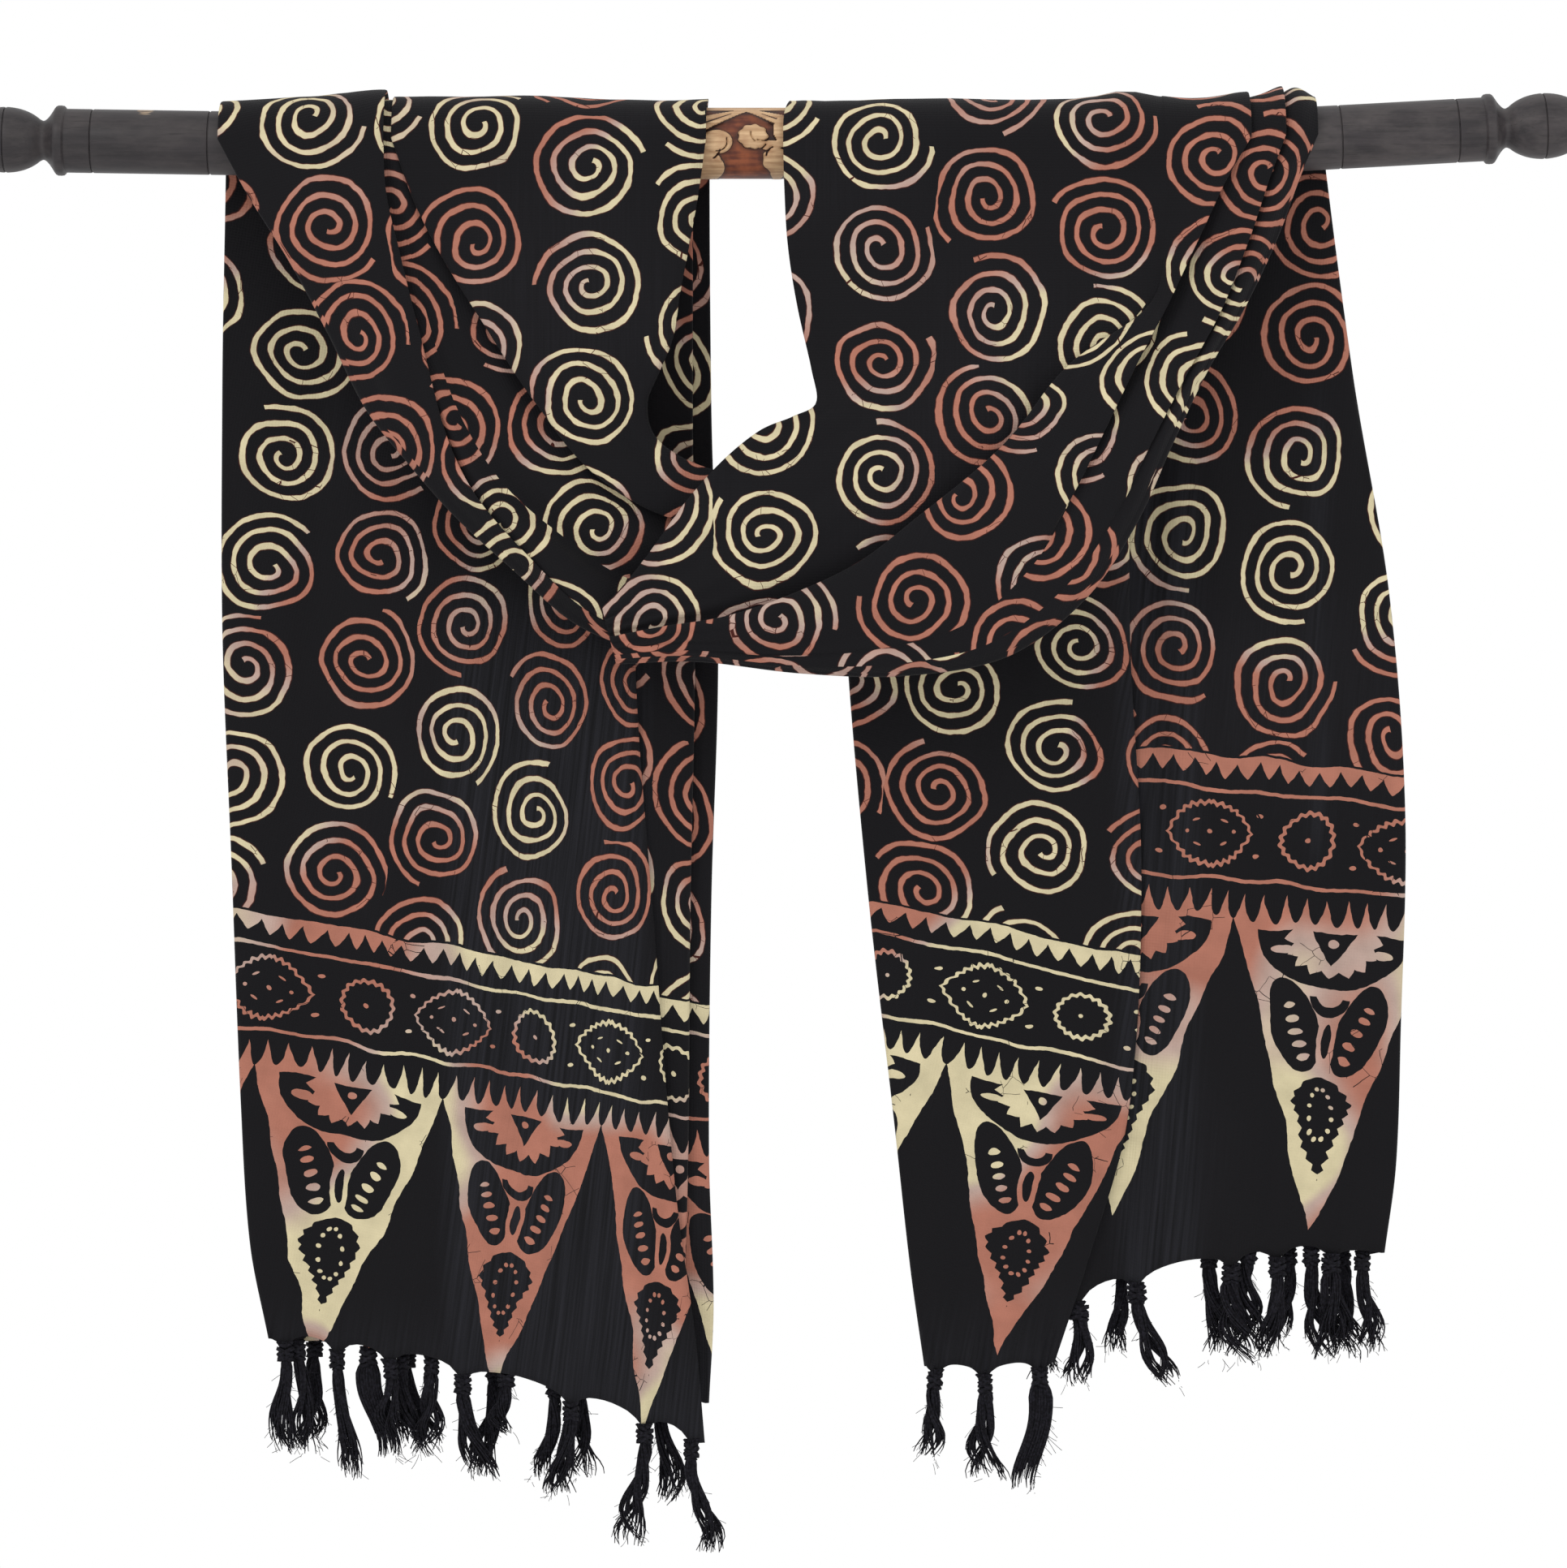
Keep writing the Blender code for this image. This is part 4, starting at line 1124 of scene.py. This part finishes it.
def medallions(add, u, height):
    """Round and pointed medallions by turns, with dots between them, about a line at height 0."""
    point = add("CombineXYZ", add("Math WRAP", u, MEDALLION, -MEDALLION), height)
    edge = add("Math MULTIPLY_ADD", waves(add, point, 18), 0.55, add("VectorMath LENGTH", point))
    shapes = [add("Math COMPARE", edge, ROUND_RADIUS, 0.9), ellipse(add, point, (0, 0), 1.0, 1.0)]

    across = add("Math WRAP", add("Math ADD", u, MEDALLION), MEDALLION, -MEDALLION)
    across = add("Math ABSOLUTE", across)
    up = add("Math ABSOLUTE", height)
    point = add("CombineXYZ", across, up)
    wide, high = POINTED_HALVES
    bowed = add("Math POWER", add("Math MULTIPLY", across, 1 / wide), 2.0)
    bowed = add("Math MULTIPLY_ADD", up, 1 / high, bowed)
    bowed = add("Math MULTIPLY_ADD", waves(add, point, 24), 0.052, bowed)
    shapes.append(add("Math COMPARE", bowed, 0.95, 0.068))
    shapes += [ellipse(add, point, *dot) for dot in POINTED_DOTS]

    between = add("Math ADD", u, MEDALLION / 2)
    between = add("Math WRAP", between, MEDALLION / 2, -MEDALLION / 2)
    shapes.append(ellipse(add, add("CombineXYZ", between, up), (0.0, 8.5), 1.5, 0.9))
    return joined(add, *shapes)


def toothed_bowl(add, point, x, v):
    """The topmost dark figure of a triangle: a nose in a bowl, with a toothed core round it."""
    low = add("Math LESS_THAN", v, BOWL_TOP)
    nose = add("Math LESS_THAN", x, add("MapRange", v, 103.5, 117.0, 0.0, 9.2))
    nose = add("Math MULTIPLY", nose, low)
    nose = without(add, nose, ellipse(add, point, (0, 112.6), 2.0, 1.6))
    wide, high = CORE_HALVES
    at = add("VectorMath SUBTRACT", point, (0, BOWL_TOP, 0))
    at = add("VectorMath MULTIPLY", at, (1 / wide, 1 / high, 0))
    tooth = add("Math PINGPONG", add("TexGradient RADIAL", at, out="Fac"), 1 / 36)
    core = add("Math MULTIPLY_ADD", tooth, -7.5, add("VectorMath LENGTH", at))
    core = add("Math LESS_THAN", core, 1.0)
    bowl = add("Math MULTIPLY", ellipse(add, point, (0, BOWL_TOP), *BOWL_HALVES), low)
    bowl = without(add, bowl, core, ellipse(add, point, (21.5, 109.0), 5.0, 1.7))
    return joined(add, nose, bowl)


def wings(add, point):
    """The middle figure: a body between two wings, each with a row of seeds."""
    body = ellipse(add, point, BODY, 2.2, 7.0)
    at = add("VectorMath SUBTRACT", point, WING)
    at = add("VectorRotate Z_AXIS", at, None, math.radians(WING_TILT))
    across, along, _ = add("SeparateXYZ", at).node.outputs
    step = add("Math ABSOLUTE", add("Math WRAP", along, WING_SEEDS, -WING_SEEDS))
    seeds = ellipse(add, add("CombineXYZ", across, step), (0, WING_SEEDS), 3.0, 1.4)
    seeds = add("Math MULTIPLY", seeds, ellipse(add, at, (0, -3.0), 6.0, 12.5))
    wing = ellipse(add, at, (0, 0), 10.2, 20.0)
    return joined(add, without(add, wing, seeds, ellipse(add, point, BODY, 4.4, 14.0)), body)


def notched_drop(add, point, x, v):
    """The lowest figure: a drop with a notched edge, and a ring of dots in it."""
    reach = add("Math MULTIPLY_ADD", add("Math PINGPONG", v, 2.25), 0.75, x)
    lower = add("Math LESS_THAN", v, DROP_CROWN)
    tip = add("Math LESS_THAN", reach, add("MapRange", v, 13.0, 45.0, 0.0, 14.6))
    tip = add("Math MULTIPLY", tip, lower)
    crown = ellipse(add, add("CombineXYZ", reach, v), (0, 42.0), 14.2, 14.6)
    wide, high = DROP_RING
    at = add("VectorMath SUBTRACT", point, DROP)
    at = add("VectorMath MULTIPLY", at, (1 / wide, 1 / high, 0))
    angle = add("Math MULTIPLY", add("TexGradient RADIAL", at, out="Fac"), 12.0)
    angle = add("Math MULTIPLY_ADD", add("Math FLOOR", angle), math.pi / 6, math.pi / 12 - math.pi)
    dot = add("CombineXYZ", add("Math COSINE", angle), add("Math SINE", angle))
    dot = ellipse(add, add("VectorMath SUBTRACT", at, dot), (0, 0), 1 / wide, 1 / high)
    return without(add, joined(add, tip, without(add, crown, lower)), dot)


def border(add, place):
    """The end border, up from the hem: long hanging triangles, medallions between lines, and teeth."""
    u, v, _ = add("SeparateXYZ", add("VectorMath MULTIPLY", place, (1 / MM, 1 / MM, 0))).node.outputs

    # A strip along the top with round teeth under it, and two plain lines
    tooth = add("Math POWER", add("Math PINGPONG", u, STRIP_TEETH), 1.3)
    above = add("Math GREATER_THAN", v, add("Math MULTIPLY_ADD", tooth, 0.92, 177.6))
    strip = add("Math MULTIPLY", above, add("Math LESS_THAN", v, BORDER_TOP))
    lines = [add("Math COMPARE", v, *line) for line in LINES]
    row = medallions(add, u, add("Math SUBTRACT", v, MEDALLION_HEIGHT))

    # Triangles that stand on their points, joined along the top by a band with pointed teeth
    x = add("Math PINGPONG", u, TRIANGLE / 2)
    inside = add("Math LESS_THAN", x, add("Math MULTIPLY_ADD", v, 0.33, 3.5))
    tooth = add("Math POWER", add("Math PINGPONG", u, TRIANGLE / 20), 2.0)
    under = add("Math LESS_THAN", v, add("Math MULTIPLY_ADD", tooth, 0.6, 119.0))
    triangles = add("Math MULTIPLY", inside, under)
    point = add("CombineXYZ", x, v)
    smile = ellipse(add, point, (0, SMILE_TOP), 7.6, 7.8)
    smile = without(add, smile, ellipse(add, point, (0, SMILE_TOP + 1.5), 5.0, 5.2))
    smile = add("Math MULTIPLY", smile, add("Math LESS_THAN", v, SMILE_TOP))
    figures = [toothed_bowl(add, point, x, v), smile, wings(add, point), notched_drop(add, point, x, v)]
    return joined(add, strip, *lines, row, without(add, triangles, joined(add, *figures)))


def batik_rayon():
    """Plain-woven rayon, waxed and dyed black: matt and soft, with cream and terracotta wax lines."""
    material, add, shader = new_material("wax_resist_rayon", "15141A", 0.85, 0.16)
    cloth, place = wobbled_cloth(add)
    line, rim, luck = spirals(add, place)
    height = add("SeparateXYZ", place).node.outputs["Y"]
    in_field = add("Math GREATER_THAN", height, (BORDER_TOP + 1.1) * MM)
    line = add("Math MULTIPLY", line, in_field)
    rim = add("Math MULTIPLY", rim, in_field)
    wax = joined(add, line, without(add, border(add, place), in_field))

    # Two dyes that run into each other by way of a greyed lilac
    luck = add("Math MULTIPLY_ADD", add("Math SUBTRACT", luck, BORDER_DYE), in_field, BORDER_DYE)
    patch = add("Math MULTIPLY_ADD", luck, 0.13, add("TexNoise", cloth, 8.5, 1.5))
    blend = add("MapRange", patch, 0.50, 0.535, 0.0, 1.0, interpolation_type="SMOOTHSTEP")
    dyed = add("Mix RGBA", blend, linear("D2C6A1"), linear("B8A095"))
    blend = add("MapRange", patch, 0.525, 0.59, 0.0, 1.0, interpolation_type="SMOOTHSTEP")
    dyed = add("Mix RGBA", blend, dyed, linear("AC715F"))
    fade = add("MapRange", add("TexNoise", cloth, 70.0, 3.0), 0.3, 0.7, 0.84, 1.06)
    dyed = add("VectorMath SCALE", dyed, fade)

    # Cracks in the wax let black dye in as hairlines
    crack = add("TexVoronoi", place, 120.0, feature="DISTANCE_TO_EDGE")
    where = add("Math GREATER_THAN", add("TexNoise", cloth, 38.0, 2.0), 0.58)
    wax = without(add, wax, add("Math MULTIPLY", add("Math LESS_THAN", crack, 0.011), where))

    # The black ground: slubs along the warp, and thin places and stretches of loose weave that are paler
    # where the light coming through them is painted into the ground
    slub = add("TexNoise", add("Mapping", cloth, None, None, (900.0, 26.0, 1.0)), 1.0, 2.0)
    thin = add("TexNoise", cloth, 7.0, 1.0)
    thin = add("MapRange", thin, 0.5, 0.72, 0.0, 0.6, interpolation_type="SMOOTHSTEP")
    thin = add("Math MULTIPLY", thin, add("MapRange", slub, 0.35, 0.75, 0.2, 1.0))
    ground = add("Mix RGBA", thin, linear("100F12"), linear("1B1A1E"))
    sheer = add("Attribute", attribute_name="sheer", out="Fac")
    pleat = add("TexNoise", add("Mapping", cloth, None, None, (560.0, 9.0, 1.0)), 1.0, 3.0, 0.6)
    # Light through the loose weave, painted as paler streaks in the ground
    loose = add("MapRange", pleat, 0.36, 0.68, 0.0, 1.0)
    loose = add("Mix RGBA", loose, linear("101013"), linear("222227"))
    ground = add("Mix RGBA", sheer, ground, loose)
    ground = add("Mix RGBA", rim, ground, linear("461D17"))

    # Weave and slubs as a fine bump, with the thread drawn twice as coarse as it is so that it shows
    threads = [add("TexWave", cloth, 260.0, 0.6, bands_direction=way) for way in ("X", "Y")]
    weave = add("Math MULTIPLY_ADD", slub, 1.4, add("Math ADD", *threads))
    weave = add("Math MULTIPLY_ADD", add("TexNoise", cloth, 34.0, 3.0), 9.0, weave)
    weave = add("Math MULTIPLY_ADD", add("Math MULTIPLY", pleat, sheer), 6.5, weave)
    bump = add("Bump", 0.45, 0.00012, None, weave)
    wire(shader, base_color=add("Mix RGBA", wax, ground, dyed), normal=bump)
    shader.inputs["Sheen Weight"].default_value = 0.04
    shader.inputs["Sheen Roughness"].default_value = 0.5
    return material


def black_yarn():
    """The rayon's own warp yarns, knotted and frayed: matt black with a faint grey along each yarn."""
    material, add, shader = new_material("frayed_rayon_yarn", "141318", 0.9, 0.15)
    tone = add("TexNoise", add("TexCoord", out="Object"), 900.0, 2.0)
    blend = add("MapRange", tone, 0.4, 0.7, 0.0, 1.0)
    colour = add("Mix RGBA", blend, linear("111014"), linear("24232A"))
    wire(shader, base_color=colour, normal=add("Bump", 0.5, 0.0001, None, tone))
    return material


def stained_hardwood():
    """Turned hardwood, charcoal stained: a low satin gloss, blotches, faint grain, and darker on the left
    end.
    """
    material, add, shader = new_material("charcoal_stained_hardwood", "3B3738", 0.46, 0.35)
    place = add("TexCoord", out="Object")
    grain = add("TexNoise", add("Mapping", place, None, None, (22.0, 380.0, 380.0)), 1.0, 4.0, 0.6)
    pores = add("TexNoise", add("Mapping", place, None, None, (90.0, 1500.0, 1500.0)), 1.0, 2.0)
    blotch = add("TexNoise", add("Mapping", place, None, None, (38.0, 90.0, 90.0)), 1.0, 4.0, 0.65)
    tone = add("MapRange", grain, 0.3, 0.7, 0.0, 1.0)
    colour = add("Mix RGBA", tone, linear("262325"), linear("3A3537"))
    colour = add("Mix RGBA", add("MapRange", blotch, 0.42, 0.70, 0.0, 0.6), colour, linear("575150"))
    colour = add("Mix RGBA", add("MapRange", pores, 0.28, 0.40, 0.5, 0.0), colour, linear("1C191A"))
    # The left end is made darker than the right
    darker_left_end = add("MapRange", add("SeparateXYZ", place), -0.05, 0.05, 0.32, 0.0)
    colour = add("Mix RGBA", darker_left_end, colour, linear("1C191A"))

    # The chip shows pale splinters on top of the left end
    chip = add("VectorMath SUBTRACT", place, CHIP)
    chip = add("VectorMath MULTIPLY", chip, tuple(1 / size for size in CHIP_SIZE))
    ragged = add("Math MULTIPLY_ADD", grain, 1.6, add("VectorMath LENGTH", chip))
    bare = add("MapRange", ragged, 1.55, 1.75, 1.0, 0.0)
    splinter = add("MapRange", pores, 0.4, 0.6, 0.0, 1.0)
    splinter = add("Mix RGBA", splinter, linear("4A3B30"), linear("B09A80"))
    height = add("Math MULTIPLY_ADD", bare, -4.0, add("Math ADD", pores, grain))
    wire(
        shader,
        base_color=add("Mix RGBA", bare, colour, splinter),
        roughness=add("MapRange", blotch, 0.3, 0.7, 0.42, 0.6),
        normal=add("Bump", 0.35, 0.00012, None, height),
    )
    return material


def carved_suar():
    """Hand-carved, waxed suar wood: pale tan relief over a red-brown ground, with shade painted into its deep
    corners and along the relief's walls.
    """
    material, add, shader = new_material("carved_waxed_suar", "C8A27A", 0.5, 0.35)
    place = add("TexCoord", out="Object")
    grain = add("TexNoise", add("Mapping", place, None, None, (60.0, 650.0, 650.0)), 1.0, 4.0)
    blotch = add("TexNoise", place, 160.0, 3.0)
    raised = add("Attribute", attribute_name="relief", out="Fac")
    recess = add("Attribute", attribute_name="recess", out="Fac")
    tone = add("MapRange", grain, 0.35, 0.65, 0.0, 1.0)
    tan = add("Mix RGBA", tone, linear("A98460"), linear("D0AE86"))
    tan = add("Mix RGBA", add("MapRange", blotch, 0.45, 0.7, 0.0, 0.35), tan, linear("96684A"))
    red = add("Math MULTIPLY_ADD", grain, 0.5, add("Math MULTIPLY", blotch, 0.5))
    red = add("MapRange", red, 0.42, 0.58, 0.0, 1.0)
    red = add("Mix RGBA", red, linear("5A2A1B"), linear("8A4A2B"))
    # Shade painted into the ground's deep corners
    red = add("Mix RGBA", recess, red, linear("2B140E"))
    colour = add("Mix RGBA", add("MapRange", raised, 0.55, 0.85, 0.0, 1.0), red, tan)
    # A dark line of painted shade along the relief's steep walls and its knife cuts
    colour = add("Mix RGBA", add("Math COMPARE", raised, 0.42, 0.3), colour, linear("33201A"))
    wire(shader, base_color=colour, normal=add("Bump", 0.4, 0.0002, None, grain))
    return material


def make_camera():
    data = bpy.data.cameras.new("camera")
    data.sensor_width = SENSOR
    data.lens = SENSOR * CAMERA_DISTANCE / (PHOTO_HEIGHT * PIXEL)
    data.clip_start = 0.05
    camera = bpy.data.objects.new("camera", data)
    x = (PHOTO_WIDTH / 2 - AXIS_PIXEL[0]) * PIXEL
    z = (AXIS_PIXEL[1] - PHOTO_HEIGHT / 2) * PIXEL
    camera.location = (x, -CAMERA_DISTANCE, z)
    camera.rotation_euler = (math.pi / 2, 0, 0)
    bpy.context.scene.collection.objects.link(camera)
    bpy.context.scene.camera = camera


def soft_light(name, place, aim, size, power):
    data = bpy.data.lights.new(name, "AREA")
    data.shape = "DISK"
    data.size = size
    data.energy = power
    lamp = bpy.data.objects.new(name, data)
    lamp.location = place
    lamp.rotation_euler = (Vector(aim) - Vector(place)).to_track_quat("-Z", "Y").to_euler()
    bpy.context.scene.collection.objects.link(lamp)


def make_studio():
    """A pale floor well below the cloth, a white surround, and two soft lights from the front."""
    bm = bmesh.new()
    bmesh.ops.create_circle(bm, cap_ends=True, radius=0.9, segments=64)
    bmesh.ops.translate(bm, vec=(0, 0, -0.76), verts=bm.verts)
    paper = new_material("matt_white_paper", "EDEDEE", 0.9, 0.1)[0]
    place_object("floor", smooth_mesh("floor", bm), paper)
    world = bpy.data.worlds.new("white_surround")
    world.use_nodes = True
    world.node_tree.nodes["Background"].inputs["Color"].default_value = (1, 1, 1, 1)
    world.node_tree.nodes["Background"].inputs["Strength"].default_value = 1.0
    bpy.context.scene.world = world
    soft_light("key", (-1.1, -1.6, 0.9), (0, 0, -0.25), 0.7, 6.5)
    soft_light("fill", (1.3, -1.7, 0.1), (0, 0, -0.3), 0.9, 2.5)
    bpy.context.scene.view_settings.view_transform = "Standard"


def main():
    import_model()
    make_camera()
    make_studio()
    rayon = batik_rayon()
    yarn = black_yarn()
    stained = stained_hardwood()
    sides = (LEFT, RIGHT)
    swag_left, swag_right = [make_swag(side, rayon) for side in sides]
    tail_left, tail_right = [make_tail(side, rayon) for side in sides]
    left_fringe, right_fringe = [make_tassels(side, yarn) for side in sides]
    bar = make_bar(carved_suar())
    for rod_end in ROD_ENDS:
        make_rod_end(*rod_end, stained)


main()
